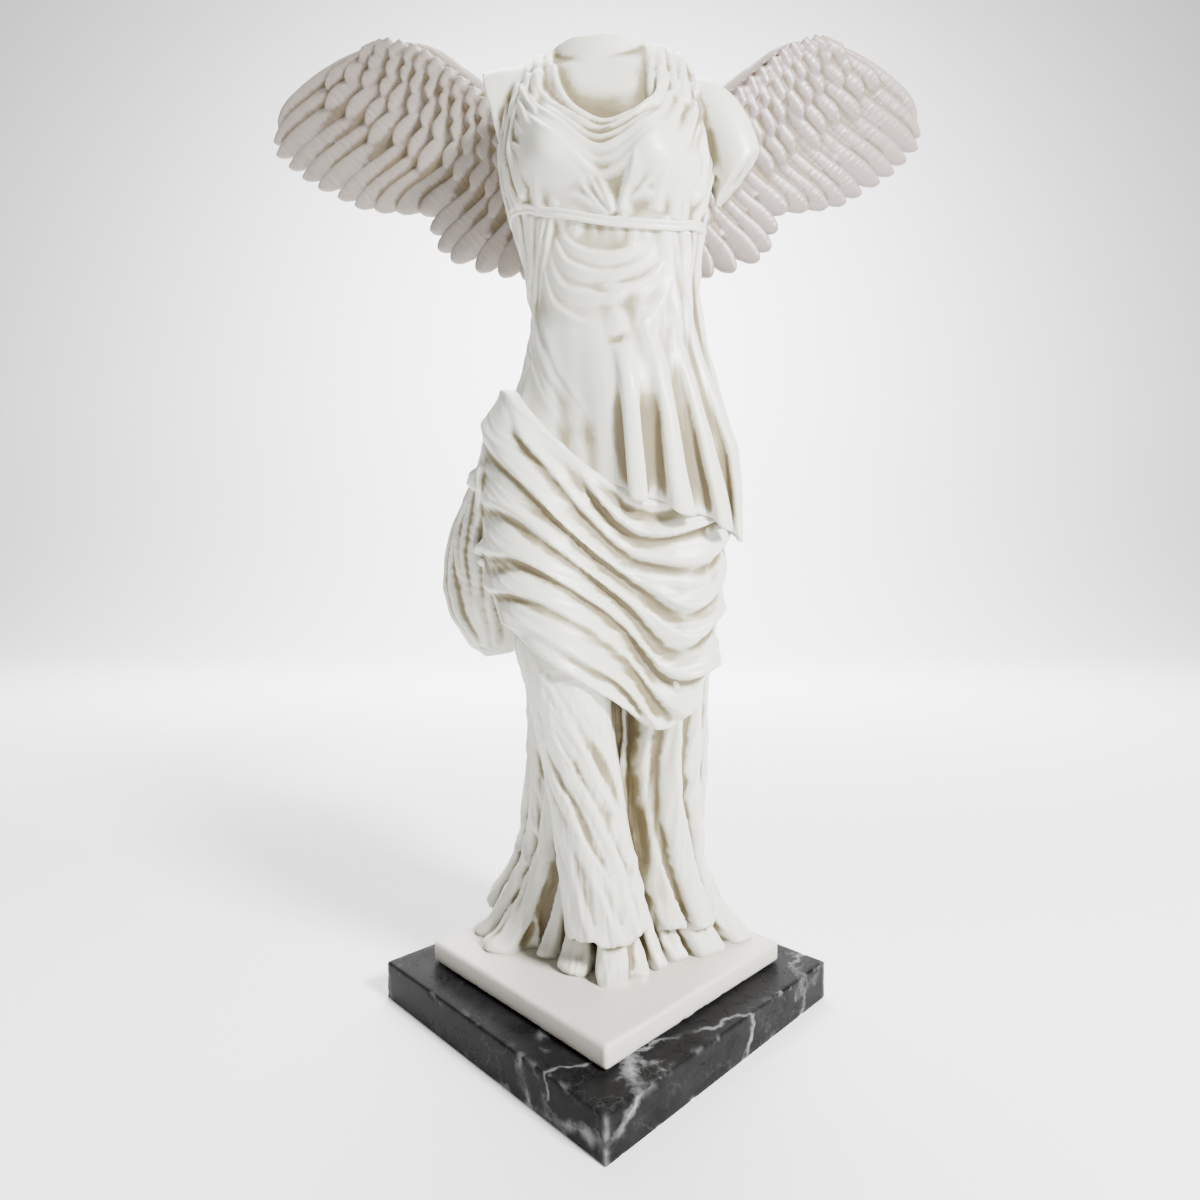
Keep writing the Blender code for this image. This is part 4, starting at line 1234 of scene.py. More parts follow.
        folds += spread(
            ((1, 291), (-6, 296), (-15, 299), (-25, 301)),
            ((3, 292), (0, 304), (-5, 318), (-14, 334)),
            6, fan, 1.0, 0.6,
        )
        folds += spread(
            ((5, 291), (12, 295), (20, 297), (29, 299)),
            ((5, 292), (7, 304), (10, 318), (17, 333)),
            6, fan, 1.0, 0.6,
        )
        back = Fold((), 3.8, 1.8, View.BACK, 0.2, 0.1, 1.4)
        folds += spread(
            ((-31, 344), (-22, 322), (-14, 302), (-9, 290)),
            ((-10, 346), (-5, 326), (-3, 306), (-2, 290)),
            6, back,
        )
        folds += spread(
            ((31, 342), (22, 322), (14, 302), (9, 289)), ((10, 345), (6, 326), (4, 306), (2, 289)), 6, back
        )
        return folds

    def body_folds(self) -> list[Fold]:
        """Returns the folds under the belt: flanks, belly, navel and the run of the overfold's pleats."""
        folds = []
        flank = Fold((), 4.2, 1.6, View.FRONT, 0.03, 0.7, 1.8, 0.35)
        folds += spread(
            ((-32, 299), (-30, 262), (-36, 238), (-44, 212)),
            ((-20, 293), (-24, 272), (-23, 250), (-14, 224)),
            6, flank, 1.6, 0.45,
        )
        folds += spread(
            ((34, 291), (32, 258), (37, 236), (43, 206)),
            ((20, 290), (25, 270), (24, 250), (17, 230)),
            6, flank, 1.6, 0.45,
        )
        sides = Fold((), 4.2, 1.9, fade_in=0.03, fade_out=0.45, sharp=1.6)
        for turn, top in ((list, 296), (mirrored, 302)):
            folds += spread(
                turn(((72, top), (74, 264), (82, 238), (88, 206))),
                turn(((152, top), (148, 264), (141, 238), (136, 208))),
                9, sides, 2.4, 0.6,
            )
        loops = (
            (((-17, 289), (-12, 281), (-2, 277), (8, 278), (15, 284)), 1.1),
            (((-20, 288), (-15, 276), (-4, 270), (9, 272), (20, 283)), 1.3),
            (((-22, 287), (-18, 271), (-8, 263.5), (4, 262), (14, 267)), 1.1),
            (((-6, 266), (6, 265), (16, 269), (24, 281)), 1.2),
            (((-24, 285), (-21, 268), (-14, 256), (-4, 250)), 0.9),
            (((26, 281), (23, 266), (17, 255), (10, 249)), 0.9),
        )
        folds += [Fold(guide, 3.6, height, View.FRONT, 0.25, 0.3, 1.5, 0.35) for guide, height in loops]
        tuck = Fold((), 3.2, 0.9, View.FRONT, 0.03, 0.85, 1.5)
        folds += spread(
            ((-15, 292), (-14, 283), (-11, 272)), ((15, 288), (14, 278), (11, 268)), 7, tuck, 1.3, 0.4
        )
        fine = Fold((), 3.0, 0.8, View.FRONT, 0.3, 0.6, 1.2)
        folds += spread(
            ((-32, 256), (-28, 238), (-19, 219), (-7, 205)),
            ((-25, 262), (-20, 244), (-11, 225), (1, 208)),
            4, fine,
        )
        folds += spread(((27, 262), (25, 244), (22, 226)), ((14, 262), (15, 250), (16, 238)), 4, fine)
        folds.append(Fold(((4.6, 250), (4.5, 246), (4.3, 241)), 4.6, -1.7, View.FRONT, 0.4, 0.4, 1.3))
        folds.append(Fold(((-24, 238), (-15, 220), (-4, 205)), 11.0, -0.6, View.FRONT, 0.4, 0.4, 1.1))
        folds.append(Fold(((27, 240), (21, 224), (13, 209)), 9.0, -0.5, View.FRONT, 0.4, 0.4, 1.1))
        return folds

    def pleated_sides(self, surface: Surface) -> np.ndarray:
        """Returns the height of fine pleats at the sides and back."""
        wide = np.abs(surface.angle)
        beside = smooth_step((wide - 52) / 30)
        skirted = window(surface.height, 214, 280, 8) * beside * 0.7 * surface.pleats(46, 34, 0.4, 1.5, 9, 3)
        upper = window(surface.height, 294, 342, 6) * smooth_step((wide - 100) / 30) * 0.6
        return skirted + upper * surface.pleats(40, 30, 0.4, 1.5, 8, 9)

    def break_ends(self, piece: bpy.types.Object) -> None:
        """Roughens the breaks at the neck and the two arms.

        Args:
            piece: The draped torso.
        """
        surface = Surface(piece)
        ends = (
            ((-3.0, 3.0, 367.0), (0.0, 0.0, 1.0), 24.0, 1.5),
            ((52.0, 2.0, 317.0), (0.75, 0.0, -0.66), 17.0, 0.5),
            ((-44.5, 4.0, 346.0), (-0.99, 0.0, -0.1), 18.0, 0.5),
        )
        moved = surface.points.copy()
        for centre, way, radius, rough in ends:
            apart = surface.points - np.array(centre)
            along = apart @ np.array(way)
            aside = np.linalg.norm(apart - along[:, None] * np.array(way), axis=1)
            near = smooth_step((along + 2.2) / 1.6) * (aside < radius)
            chips = noise(surface.points / 7.5, 11) + 0.35 * noise(surface.points / 2.4, 12) - 0.3
            moved += (near * rough * chips)[:, None] * np.array(way)
        piece.data.vertices.foreach_set("co", (moved * METRES).astype(np.float32).ravel())
        piece.data.update()


@dataclass(frozen=True)
class Belt:
    """A narrow flat band under the breast, with a groove along its middle."""

    voxel: float = 0.35
    middle: Rows = ((-180, 298), (-80, 300), (-40, 293), (0, 288), (40, 288), (80, 294), (180, 298))
    width: float = 3.8
    thickness: float = 0.9
    lift: float = 2.3

    def build(self, chest: Skin) -> bpy.types.Object:
        """Makes the belt on the chest's surface."""
        count = 260
        clay = Clay("belt")
        rows = smooth_rows(self.middle, count)
        levels = np.linspace(0.5, -0.5, 9)[:, None]
        angles = np.broadcast_to(rows[:, 0], (9, count))
        heights = rows[:, 1] + levels * self.width
        groove = 0.5 * np.exp(-((levels / 0.1) ** 2))
        lift = self.lift + self.thickness * (1 - 0.4 * (2 * levels) ** 4) - groove
        clay.add(sheet(on_axis(angles, draped(chest, angles, heights, 4) + lift, heights), np.full(9, 3.5)))
        piece = clay.fuse(self.voxel, 2)
        thin_out(piece, 60_000)
        Surface(piece).patina_and_shade()
        return piece


@dataclass(frozen=True)
class HipMantle:
    """The mantle that is wound round the hips: its lapping folds, its pointed apron and its loose end."""

    voxel: float = 0.66
    top: Rows = (
        (-180, 214, 3.0), (-138, 221, 4.0), (-108, 231, 6.5), (-84, 234, 7.5), (-66, 231, 6.5),
        (-46, 219, 4.4), (-22, 205, 2.6), (8, 194, 1.8), (40, 195, 1.0), (66, 202, 1.0), (90, 207, 1.4),
        (130, 210, 3.0), (180, 212, 3.0),
    )
    hem: Rows = (
        (-180, 184, 3.4), (-134, 188, 3.8), (-106, 182, 4.6), (-84, 171, 5.0), (-56, 153, 4.6),
        (-24, 135, 4.4), (8, 117, 4.6), (34, 108, 4.8), (50, 113, 4.2), (66, 132, 3.0), (82, 157, 1.6),
        (100, 176, 1.6), (134, 187, 3.4), (180, 184, 3.4),
    )
    lobe: Rows = (
        (-40.0, 12.0, 208.0, 9.0, 6.0, 7.0),
        (-46.0, 17.0, 192.0, 13.0, 7.5, 8.0),
        (-50.5, 20.0, 174.0, 16.5, 8.5, 9.0),
        (-52.0, 22.0, 158.0, 17.0, 9.0, 9.0),
        (-49.0, 24.0, 145.0, 15.5, 8.0, 8.0),
        (-46.0, 25.0, 136.0, 12.0, 6.0, 6.0),
        (-45.0, 25.0, 131.0, 7.0, 3.5, 4.0),
    )
    lobe_front: Colour = (-0.5, -0.85, 0.0)
    overlap: float = 1.012

    def build(self, skin: Skin) -> bpy.types.Object:
        """Makes the piece on the surface of the bare figure."""
        clay = Clay("hip_mantle")
        clay.add(self.cloth(skin), loft(self.lobe, front=self.lobe_front, around=64, rings=64))
        piece = clay.fuse(self.voxel, 4)
        surface = Surface(piece)
        surface.draw(self.loose_end(), surface.skin())
        surface.shift += self.fine_lines(surface)
        surface.press()
        thin_out(piece)
        Surface(piece).patina_and_shade()
        return piece

    def cloth(self, skin: Skin) -> Body:
        """Makes the mantle as one cloth whose folds swing from hip to hip.

        Args:
            skin: The surface of the bare figure.

        Returns:
            The cloth.
        """
        across, down = 620, 170
        upper, lower = smooth_rows(self.top, across), smooth_rows(self.hem, across)
        share = np.linspace(0, 1, down)[:, None]
        angles = (upper[:, 0] * (1 - share) + lower[:, 0] * share) * self.overlap
        heights = upper[:, 1] * (1 - share) + lower[:, 1] * share
        radii = draped(skin, angles, heights, 26)
        depth = upper[:, 1] - lower[:, 1]
        number = 2.6 + 5.4 * np.exp(-(((angles - 8) / 72) ** 2))
        around = np.stack([np.sin(np.radians(angles)).ravel(), np.cos(np.radians(angles)).ravel()], 1)
        slow = noise(np.column_stack([around * 1.1, share.repeat(across, 1).ravel() * 2.2]), 4)
        swing = 3.0 * smooth_step((angles + 105) / 150)
        phase = number * share**0.92 + 0.42 * slow.reshape(angles.shape) - swing + 3.1
        swell = noise(np.column_stack([around * 1.5, phase.ravel() * 0.8]), 5).reshape(angles.shape)
        swell = swell * window(angles, -165, 165, 25)
        size = np.clip(0.46 * depth / number, 1.4, 4.2) * (0.78 + 0.5 * swell)
        edge = smooth_step(share * 9) * smooth_step((1 - share) * 14 + 0.35)
        fold = tucked(phase, 0.7, 1.45) * size * edge
        fine = ridged(np.column_stack([around * 1.7, phase.ravel() * 2.0]), 0.42, 1.3, 6)
        fine = fine.reshape(angles.shape)
        lift = upper[:, 2] * (1 - share) + lower[:, 2] * share + fold + 0.7 * fine * edge
        heights = heights - 0.45 * fold
        outer = on_axis(angles, radii + lift, heights)
        inner = on_axis(angles, radii + 0.35 * lift - 3.0, heights + 0.6 * share * edge)
        return shell(outer.reshape(-1, 3), inner.reshape(-1, 3), across, down)

    def loose_end(self) -> list[Fold]:
        """Returns the folds that run down the loose end at the right hip."""
        front = Fold((), 6.8, 4.2, View.FRONT, 0.06, 0.05, 1.5, 0.5)
        folds = spread(
            ((-45, 206), (-47, 180), (-45, 152), (-44, 132)),
            ((-53, 207), (-66, 176), (-65, 150), (-51, 131)),
            5, front, 1.2, 0.97,
        )
        fold = Fold((), 5.0, 3.0, fade_in=0.06, fade_out=0.12, sharp=1.4, lean=0.35)
        folds += spread(
            ((-88, 206), (-90, 178), (-84, 150)), ((-112, 206), (-108, 170), (-100, 136)), 4, fold, 1.0
        )
        behind = Fold((), 4.6, 2.4, fade_in=0.1, fade_out=0.2, sharp=1.4)
        folds += spread(
            ((-116, 204), (-116, 172), (-114, 144)), ((-142, 200), (-136, 172), (-128, 146)), 5, behind
        )
        return folds

    def fine_lines(self, surface: Surface) -> np.ndarray:
        """Returns the height of thin lines across the apron, where the cloth is drawn to the right hip."""
        hang = 46 * ((surface.angle - 28) / 110) ** 2
        places = np.stack([(surface.height - hang) / 3.6, surface.angle / 46, surface.angle * 0], 1)
        return 0.28 * window(surface.angle, -100, 104, 10) * ridged(places, 0.4, 1.3, 22)


@dataclass(frozen=True)
class Skirt:
    """The skirt with its long folds, the legs under it and the strut below the front hem."""

    voxel: float = 0.66
    levels: tuple[float, ...] = (96.0, 58.0, 23.0)
    hem_level: float = 20.5
    ridges: Rows = (
        (10, 166, 12, 15, 19, 7.5, 16.0), (20, 164, 23, 28, 36, 8.5, 9.0), (31, 164, 35, 43, 52, 6.0, 8.0),
        (41, 166, 48, 59, 69, 8.5, 8.0), (56, 178, 65, 77, 88, 7.0, 12.0), (74, 196, 84, 96, 106, 9.0, 6.0),
        (92, 200, 101, 111, 120, 6.5, 4.0), (108, 200, 117, 127, 136, 9.0, 4.0),
        (128, 200, 137, 146, 153, 8.0, 3.0), (150, 200, 155, 162, 169, 9.5, 3.0),
        (172, 200, 174, 180, 185, 7.0, 3.0), (190, 200, 192, 195, 199, 9.0, 4.0),
        (210, 200, 210, 213, 216, 7.0, 3.0), (230, 200, 226, 227, 230, 9.5, 6.0),
        (250, 198, 242, 241, 241, 7.5, 8.0), (268, 190, 257, 253, 251, 9.5, 16.0),
        (284, 180, 273, 269, 266, 6.5, 13.0), (298, 170, 289, 287, 284, 8.5, 12.0),
        (310, 160, 303, 306, 309, 6.0, 6.0), (322, 156, 317, 324, 334, 7.5, 12.0),
    )
    hem_rise: float = 2.0
    undercut: float = 2.0
    apron_middle: Rows = ((150, -24), (126, -23), (98, -20), (66, -9), (37, -1))
    apron_reach: Rows = ((150, 42), (126, 43), (98, 43), (66, 40), (37, 37))
    apron_top: float = 152.0
    apron_foot: float = 37.0
    apron_folds: float = 6.5

    def build(self, figure: BareFigure) -> bpy.types.Object:
        """Makes the piece.

        Args:
            figure: The figure under the clothes.

        Returns:
            The piece.
        """
        behind = Skin(joined(figure.straight_legs()))
        legs = Skin(joined([*figure.straight_legs(), figure.bent_leg()]))
        clay = Clay("skirt_and_legs")
        strut = loft(figure.strut, around=32, rings=20, power=3.0)
        clay.add(*figure.straight_legs(), figure.bent_leg(), strut)
        clay.add(self.pleated(behind), self.apron(legs))
        piece = clay.fuse(self.voxel, 5, floor=18.0)
        surface = Surface(piece)
        surface.draw(self.leg_folds(), surface.skin())
        surface.shift += self.fine_pleats(surface)
        surface.press()
        thin_out(piece)
        Surface(piece).patina_and_shade()
        return piece

    def pleated(self, skin: Skin) -> Body:
        """Makes the skirt as one cloth, whose ridges run from the hips and spread over the slab.

        Args:
            skin: The surface of the left leg and the body of the skirt.

        Returns:
            The cloth.
        """
        across, down = 760, 130
        turn = np.array([360.0, 0.0, 360.0, 360.0, 360.0, 0.0, 0.0])
        rows = np.array(self.ridges, float)
        rows = np.vstack([rows[-2:] - turn, rows, rows[:2] + turn])
        count = np.arange(len(rows))
        angles = np.linspace(-1, 361, across) + rows[2, 0]
        outer, inner = np.zeros((down, across, 3)), np.zeros((down, across, 3))
        shares = np.linspace(0, 1, down)
        courses = [self.course(row, shares) for row in rows]
        leans = [random.uniform(-1, 1) for _ in rows]
        hollows = [random.uniform(0.3, 3.6) for _ in rows]
        turns = np.radians(angles)
        waves = noise(np.stack([np.sin(turns), np.cos(turns), 0 * angles], 1) * 5.0, 51)
        hem = SLAB_TOP + self.hem_rise * np.clip(0.7 + 1.1 * waves, 0.2, 2.0)
        for j, share in enumerate(shares):
            ridge = [course[j] for course in courses]
            phase = np.interp(angles, ridge, count) * 2 * math.pi
            phase += 0.6 * np.sin(phase) * np.interp(angles, ridge, leans)
            tops, size, spread_out = (np.interp(angles, ridge, rows[:, column]) for column in (1, 5, 6))
            heights = tops * (1 - share) + self.hem_level * share
            run = self.run(heights, tops)
            rounded = 0.5 + 0.5 * np.cos(phase)
            loop = smooth_step((run - 0.45) / 0.35) * smooth_step((heights - SLAB_TOP - 1.5) / 4.0)
            crest = rounded ** (1.9 - 1.1 * run)
            small = (0.5 + 0.5 * np.cos(3 * phase + 2.5 * np.interp(angles, ridge, leans))) ** 1.6
            small = small * (1 - 0.6 * crest)
            lift = size * ((0.22 + 0.62 * run) * crest + 0.2 * run + 0.2 * small * run**0.5)
            lift -= 2.6 * (1 - run) ** 2
            lift += spread_out * np.maximum(run - 0.35, 0.0) ** 2 / 0.42 * (0.3 + 0.7 * crest)
            lift -= loop * np.interp(angles, ridge, hollows) * rounded**4
            lift -= self.undercut * smooth_step((hem - heights) / 0.8)
            curled = angles + 0.36 * size * np.sin(2 * phase) * run
            for i in range(across):
                hit, _ = skin.at((curled[i], heights[i]))
                away = outward(curled[i])
                outer[j, i] = self.on_slab(np.array(hit) + away * lift[i])
                inner[j, i] = np.array(hit) - away * 4.0
        return shell(outer.reshape(-1, 3), inner.reshape(-1, 3), across, down)

    def apron(self, skin: Skin) -> Body:
        """Makes the thin cloth that clings to the bent leg, with folds that run down across it.

        Args:
            skin: The surface of both legs.

        Returns:
            The cloth.
        """
        across, down = 340, 190
        share = np.linspace(0, 1, down)[:, None]
        aside = np.linspace(-1, 1, across)[None, :]
        level = self.apron_top * (1 - share) + self.apron_foot * share
        middle, reach = (smooth_rows(rows, 80)[::-1] for rows in (self.apron_middle, self.apron_reach))
        angles = aside * np.interp(level, reach[:, 0], reach[:, 1])
        angles = angles + np.interp(level, middle[:, 0], middle[:, 1])
        flat = np.zeros(angles.size)
        places = np.stack([angles.ravel() / 26, (level + 0 * angles).ravel() / 42, flat], 1)
        slow = noise(places, 61).reshape(angles.shape)
        drift = 1.15 * (1 - share) ** 1.3
        phase = self.apron_folds * 0.5 * (aside + drift) + 0.45 * slow + 0.12
        fold = tucked(phase, 0.6, 1.5)
        flank = smooth_step((np.abs(aside + 0.12) - 0.3) / 0.45)
        low = smooth_step((share - 0.45) / 0.5)
        depth = 0.5 + (2.2 - 1.1 * low) * flank + 0.5 * low
        depth = depth * np.clip(1.0 + 0.4 * noise(places * 1.7, 62).reshape(angles.shape), 0.4, 1.5)
        lines = np.stack([(aside + drift).ravel() * 11.0, share.repeat(across, 1).ravel() * 3.0, flat], 1)
        fine = ridged(lines, 0.42, 1.3, 63).reshape(angles.shape)
        edge = smooth_step((1 - np.abs(aside)) / 0.22) * smooth_step(share * 7)
        lift = 1.0 + fold * depth + 0.8 * fine * (1 - 0.4 * low) + 3.2 * low**2
        radii = draped(skin, angles, level + 0 * angles, 14)
        heights = level + low * (3.0 * slow + 1.6 * fold - 1.5)
        outer = on_axis(angles, radii + lift * edge - 2.0 * (1 - edge), heights)
        inner = on_axis(angles, radii - 5.0, heights)
        return shell(outer.reshape(-1, 3), inner.reshape(-1, 3), across, down)

    def run(self, heights: np.ndarray, tops: np.ndarray) -> np.ndarray:
        """Returns how far along its fold the cloth is at a height: 0 at the top and 1 at the slab."""
        middle, low, foot = self.levels
        upper = 0.4 * np.clip((tops - heights) / np.maximum(tops - middle, 1.0), 0, 1)
        return upper + np.interp(heights, (foot, low, middle), (0.6, 0.2, 0.0))

    def course(self, row: np.ndarray, shares: np.ndarray) -> np.ndarray:
        """Returns the angles of a ridge at shares of the way from its top down to the hem."""
        levels = (row[1], *self.levels[:2], self.hem_level)
        curve = smooth_rows(list(zip(row[[0, 2, 3, 4]], levels)), 60)[::-1]
        return np.interp(row[1] * (1 - shares) + self.hem_level * shares, curve[:, 1], curve[:, 0])

    def on_slab(self, place: np.ndarray) -> np.ndarray:
        """Returns a point of the hem, drawn in where it would hang over the slab's edge."""
        free = SLAB_REACH - 3.0 + 0.6 * max(place[2] - SLAB_TOP - 5.0, 0.0)
        scale = min(free / (abs(place[0]) + abs(place[1])), 1.0)
        return place * np.array([scale, scale, 1.0])

    def leg_folds(self) -> list[Fold]:
        """Returns the lines over the thighs, the knee and the shin."""
        knee = Fold((), 3.0, 1.0, View.FRONT, 0.02, 0.6, 1.4, 0.3)
        folds = spread(
            ((-4, 134), (-14, 140), (-26, 142)), ((-3, 122), (-16, 116), (-27, 106)), 6, knee, 0.8
        )
        swing = Fold((), 6.0, 1.9, View.FRONT, 0.35, 0.15, 1.5, 0.5)
        folds += spread(
            ((-26, 126), (-20, 102), (-8, 74), (6, 46)),
            ((-16, 122), (-6, 98), (6, 74), (16, 50)),
            3, swing, 1.2, 0.85,
        )
        inner = Fold((), 3.8, 1.8, View.FRONT, 0.1, 0.3, 1.5, 0.3)
        folds += spread(
            ((8, 150), (12, 128), (15, 104)), ((32, 150), (33, 122), (30, 92)), 6, inner, 1.2, 0.6
        )
        return folds

    def fine_pleats(self, surface: Surface) -> np.ndarray:
        """Returns the height of the fine pleats all over the skirt."""
        down = window(surface.height, 26, 170, 6)
        medium = surface.pleats(52, 40, 0.4, 1.5, 10, 31)
        fine = surface.pleats(130, 24, 0.4, 1.2, 8, 32)
        leg = window(surface.angle, -60, 14, 8) * window(surface.height, 34, 156, 8)
        return down * ((1 - 0.9 * leg) * medium + (0.42 - 0.1 * leg) * fine)


class Side(Enum):
    """A side of the figure, as the sign of x."""

    RIGHT = -1
    LEFT = 1


@dataclass(frozen=True)
class CovertRow:
    """A row of short feathers: where it starts and ends as shares of the way to the wing's edge."""

    shift: float
    start: float
    stop: float
    width: float
    thickness: float
    lift: float


@dataclass(frozen=True)
class Wing:
    """A raised wing: its arm, flight feathers with their quills, and rows of coverts on both faces."""

    side: Side
    reach: float
    voxel: float = 0.6
    arm: Rows = ((14.0, 322.0), (28.0, 343.0), (46.0, 362.0), (64.0, 380.0), (80.0, 394.0), (98.0, 401.0))
    lean: Rows = ((22.0, 312.0), (36.0, 320.0), (54.0, 336.0), (76.0, 352.0), (100.0, 374.0), (130.0, 403.0))
    tips: Rows = (
        (34.0, 288.0), (50.0, 293.0), (66.0, 301.0), (75.0, 311.0), (80.0, 326.0), (96.0, 331.0),
        (112.0, 336.0), (126.0, 345.0), (140.0, 355.0), (152.0, 366.0), (160.0, 376.0), (157.0, 386.0),
    )
    arm_radii: tuple[float, ...] = (10.0, 9.0, 8.0, 7.0, 6.0, 4.5)
    start: float = 22.0
    feathers: int = 16
    tilt: float = 0.24
    wrist: float = 60.0
    coverts: tuple[CovertRow, ...] = (
        CovertRow(0.5, 0.12, 0.58, 5.0, 2.3, 2.2),
        CovertRow(0.0, 0.07, 0.38, 4.6, 2.5, 4.2),
        CovertRow(0.5, 0.03, 0.24, 4.2, 2.7, 5.8),
        CovertRow(0.0, 0.01, 0.13, 3.6, 2.8, 7.0),
    )

    def build(self) -> bpy.types.Object:
        """Makes the wing."""
        clay = Clay(f"{self.side.name.lower()}_wing")
        arm = []
        for (out, height), radius in zip(self.arm, self.arm_radii):
            centre = (self.side.value * out, self.depth(out, height) + 1.0, height)
            arm.append((*centre, radius, radius * 0.9, radius * 0.9))
        clay.add(loft(arm, around=40, rings=60), self.membrane())
        clay.add(*self.row(CovertRow(0.0, 0.0, 1.0, 5.9, 2.1, 0.0), self.feathers + 1, 1))
        for covert in self.coverts:
            for face in (1, -1):
                clay.add(*self.row(covert, self.feathers, face))
        piece = clay.fuse(self.voxel, 2)
        surface = Surface(piece)
        surface.shift += self.barbs(surface)
        surface.press()
        thin_out(piece, 170_000)
        Surface(piece).patina_and_shade()
        return piece

    def depth(self, out: float, height: float) -> float:
        """Returns how far back the wing lies at a distance from the body's middle and a height."""
        spread_out = max(out - 15.0, 0.0)
        return self.start + 0.26 * spread_out + 0.0008 * spread_out**2 - 0.0012 * (height - 350.0) ** 2

    def curve(self, place: float, share: float) -> np.ndarray:
        """Returns a point of the wing.

        Args:
            place: From 0 at the body to 1 at the tip.
            share: From 0 at the arm to 1 at the feathers' ends.

        Returns:
            The distance from the body's middle, and the height.
        """
        index = int(round(place * 100))
        points = [smooth_rows(line, 101)[index] for line in (self.arm, self.lean, self.tips)]
        for point in points:
            point[0] += max(point[0] - self.wrist, 0.0) * (self.reach - 1)
        a, b, c = points
        return a * (1 - share) ** 2 + 2 * b * share * (1 - share) + c * share**2

    def feather(self, place: float, covert: CovertRow, stop: float, face: int) -> list[Body]:
        """Makes a feather and its quill.

        Args:
            place: Where it grows, from 0 at the body to 1 at the tip.
            covert: The row that it stands in.
            stop: Where it ends, as a share of the way to the wing's edge.
            face: 1 on the front of the wing, -1 on its back.

        Returns:
            The feather's bodies.
        """
        steps = 22
        start = covert.start
        chord = self.curve(place, stop) - self.curve(place, start)
        across = np.array([-chord[1], chord[0]]) / np.linalg.norm(chord)
        blade_rows, quill_rows = [], []
        lift = face * covert.lift
        for k in range(steps):
            t = 1 - (1 - k / (steps - 1)) ** 1.7
            out, height = self.curve(place, start + (stop - start) * t)
            blade = (0.74 + 0.26 * t) * math.sqrt(max(1 - max(t - 0.8, 0.0) ** 2 / 0.0405, 0.02))
            depth = self.depth(out, height) - lift * (1 - 0.2 * t)
            thick = covert.thickness * (0.6 + 0.4 * t)
            x = self.side.value * out
            blade_rows.append((x, depth, height, covert.width * blade, thick, covert.thickness * 0.6))
            if t < 0.92:
                quill = 0.75 * (1 - 0.5 * t)
                quill_rows.append((x, depth - face * thick * 0.82, height, quill, quill, quill))
        facing = -1.0 if lift >= 0 else 1.0
        front = (-across[0] * self.side.value * self.tilt, facing, -across[1] * self.tilt)
        made = [loft(blade_rows, front=front, around=24, rings=30, power=1.9)]
        made.append(loft(quill_rows, front=front, around=10, rings=30))
        return made

    def row(self, covert: CovertRow, count: int, face: int) -> list[Body]:
        """Returns the bodies of a row of feathers on one face of the wing."""
        made = []
        for k in range(count):
            wave = 0.08 * math.sin(k * 2.3 + covert.shift * 5 + self.side.value)
            stop = covert.stop * (1 + wave) if covert.stop < 1 else 1.0
            place = min((k + covert.shift) / self.feathers, 1.0)
            made += self.feather(place, covert, stop, face)
        return made

    def membrane(self) -> Body:
        """Returns the thin middle of the wing, which closes the gaps between its feathers."""
        across, down = 40, 16
        places = itertools.product(range(down), range(across))
        middle = [self.curve(i / (across - 1), 0.75 * j / (down - 1)) for j, i in places]
        front, back = (
            [(self.side.value * out, self.depth(out, height) + shift, height) for out, height in middle]
            for shift in (-1.6, 2.4)
        )
        return shell(front, back, across, down)

    def barbs(self, surface: Surface) -> np.ndarray:
        """Returns the height of the fine lines that run aslant over the feathers."""
        out = np.abs(surface.points[:, 0])
        slant = out * 0.8 - surface.height * 0.75
        run = out * 0.6 + surface.height * 0.8
        places = np.stack([slant / 1.5, run / 18.0, surface.points[:, 1] / 14.0], 1)
        return 0.16 * ridged(places, 0.5, 1.2, 41)


# The slab and the base


def square_block(
    name: str, side: float, foot: float, height: float, bevel: float, cell: float
) -> bpy.types.Object:
    """Makes a square block with eased edges, cut into even cells.

    Args:
        name: Its name.
        side: The length of its sides.
        foot: The height of its underside.
        height: How tall it is.
        bevel: How wide its eased edges are.
        cell: The size of its cells.

    Returns:
        The block, with its sides along X and Y.
    """
    bpy.ops.object.select_all(action="DESELECT")
    bpy.ops.mesh.primitive_cube_add(size=1.0, location=(0, 0, (foot + height / 2) * METRES))
    block = bpy.context.active_object
    block.name = block.data.name = name
    block.scale = (side * METRES, side * METRES, height * METRES)
    bpy.ops.object.transform_apply(location=True, rotation=False, scale=True)
    bpy.ops.object.mode_set(mode="EDIT")
    bpy.ops.mesh.select_all(action="SELECT")
    bpy.ops.mesh.bevel(offset=bevel * METRES, segments=4, affect="EDGES")
    bpy.ops.mesh.select_mode(type="EDGE")
    for axis, length in enumerate((side, side, height)):
        bpy.ops.mesh.select_all(action="DESELECT")
        bpy.ops.object.mode_set(mode="OBJECT")
        one, other = edge_ends(block.data)
        points = vertex_array(block.data, "co") / METRES
        apart = np.abs(points[other] - points[one])
        block.data.edges.foreach_set("select", (apart[:, axis] > length - 3 * bevel))
        bpy.ops.object.mode_set(mode="EDIT")
        bpy.ops.mesh.subdivide(number_cuts=max(int(length / cell), 2))
    bpy.ops.object.mode_set(mode="OBJECT")
    return block


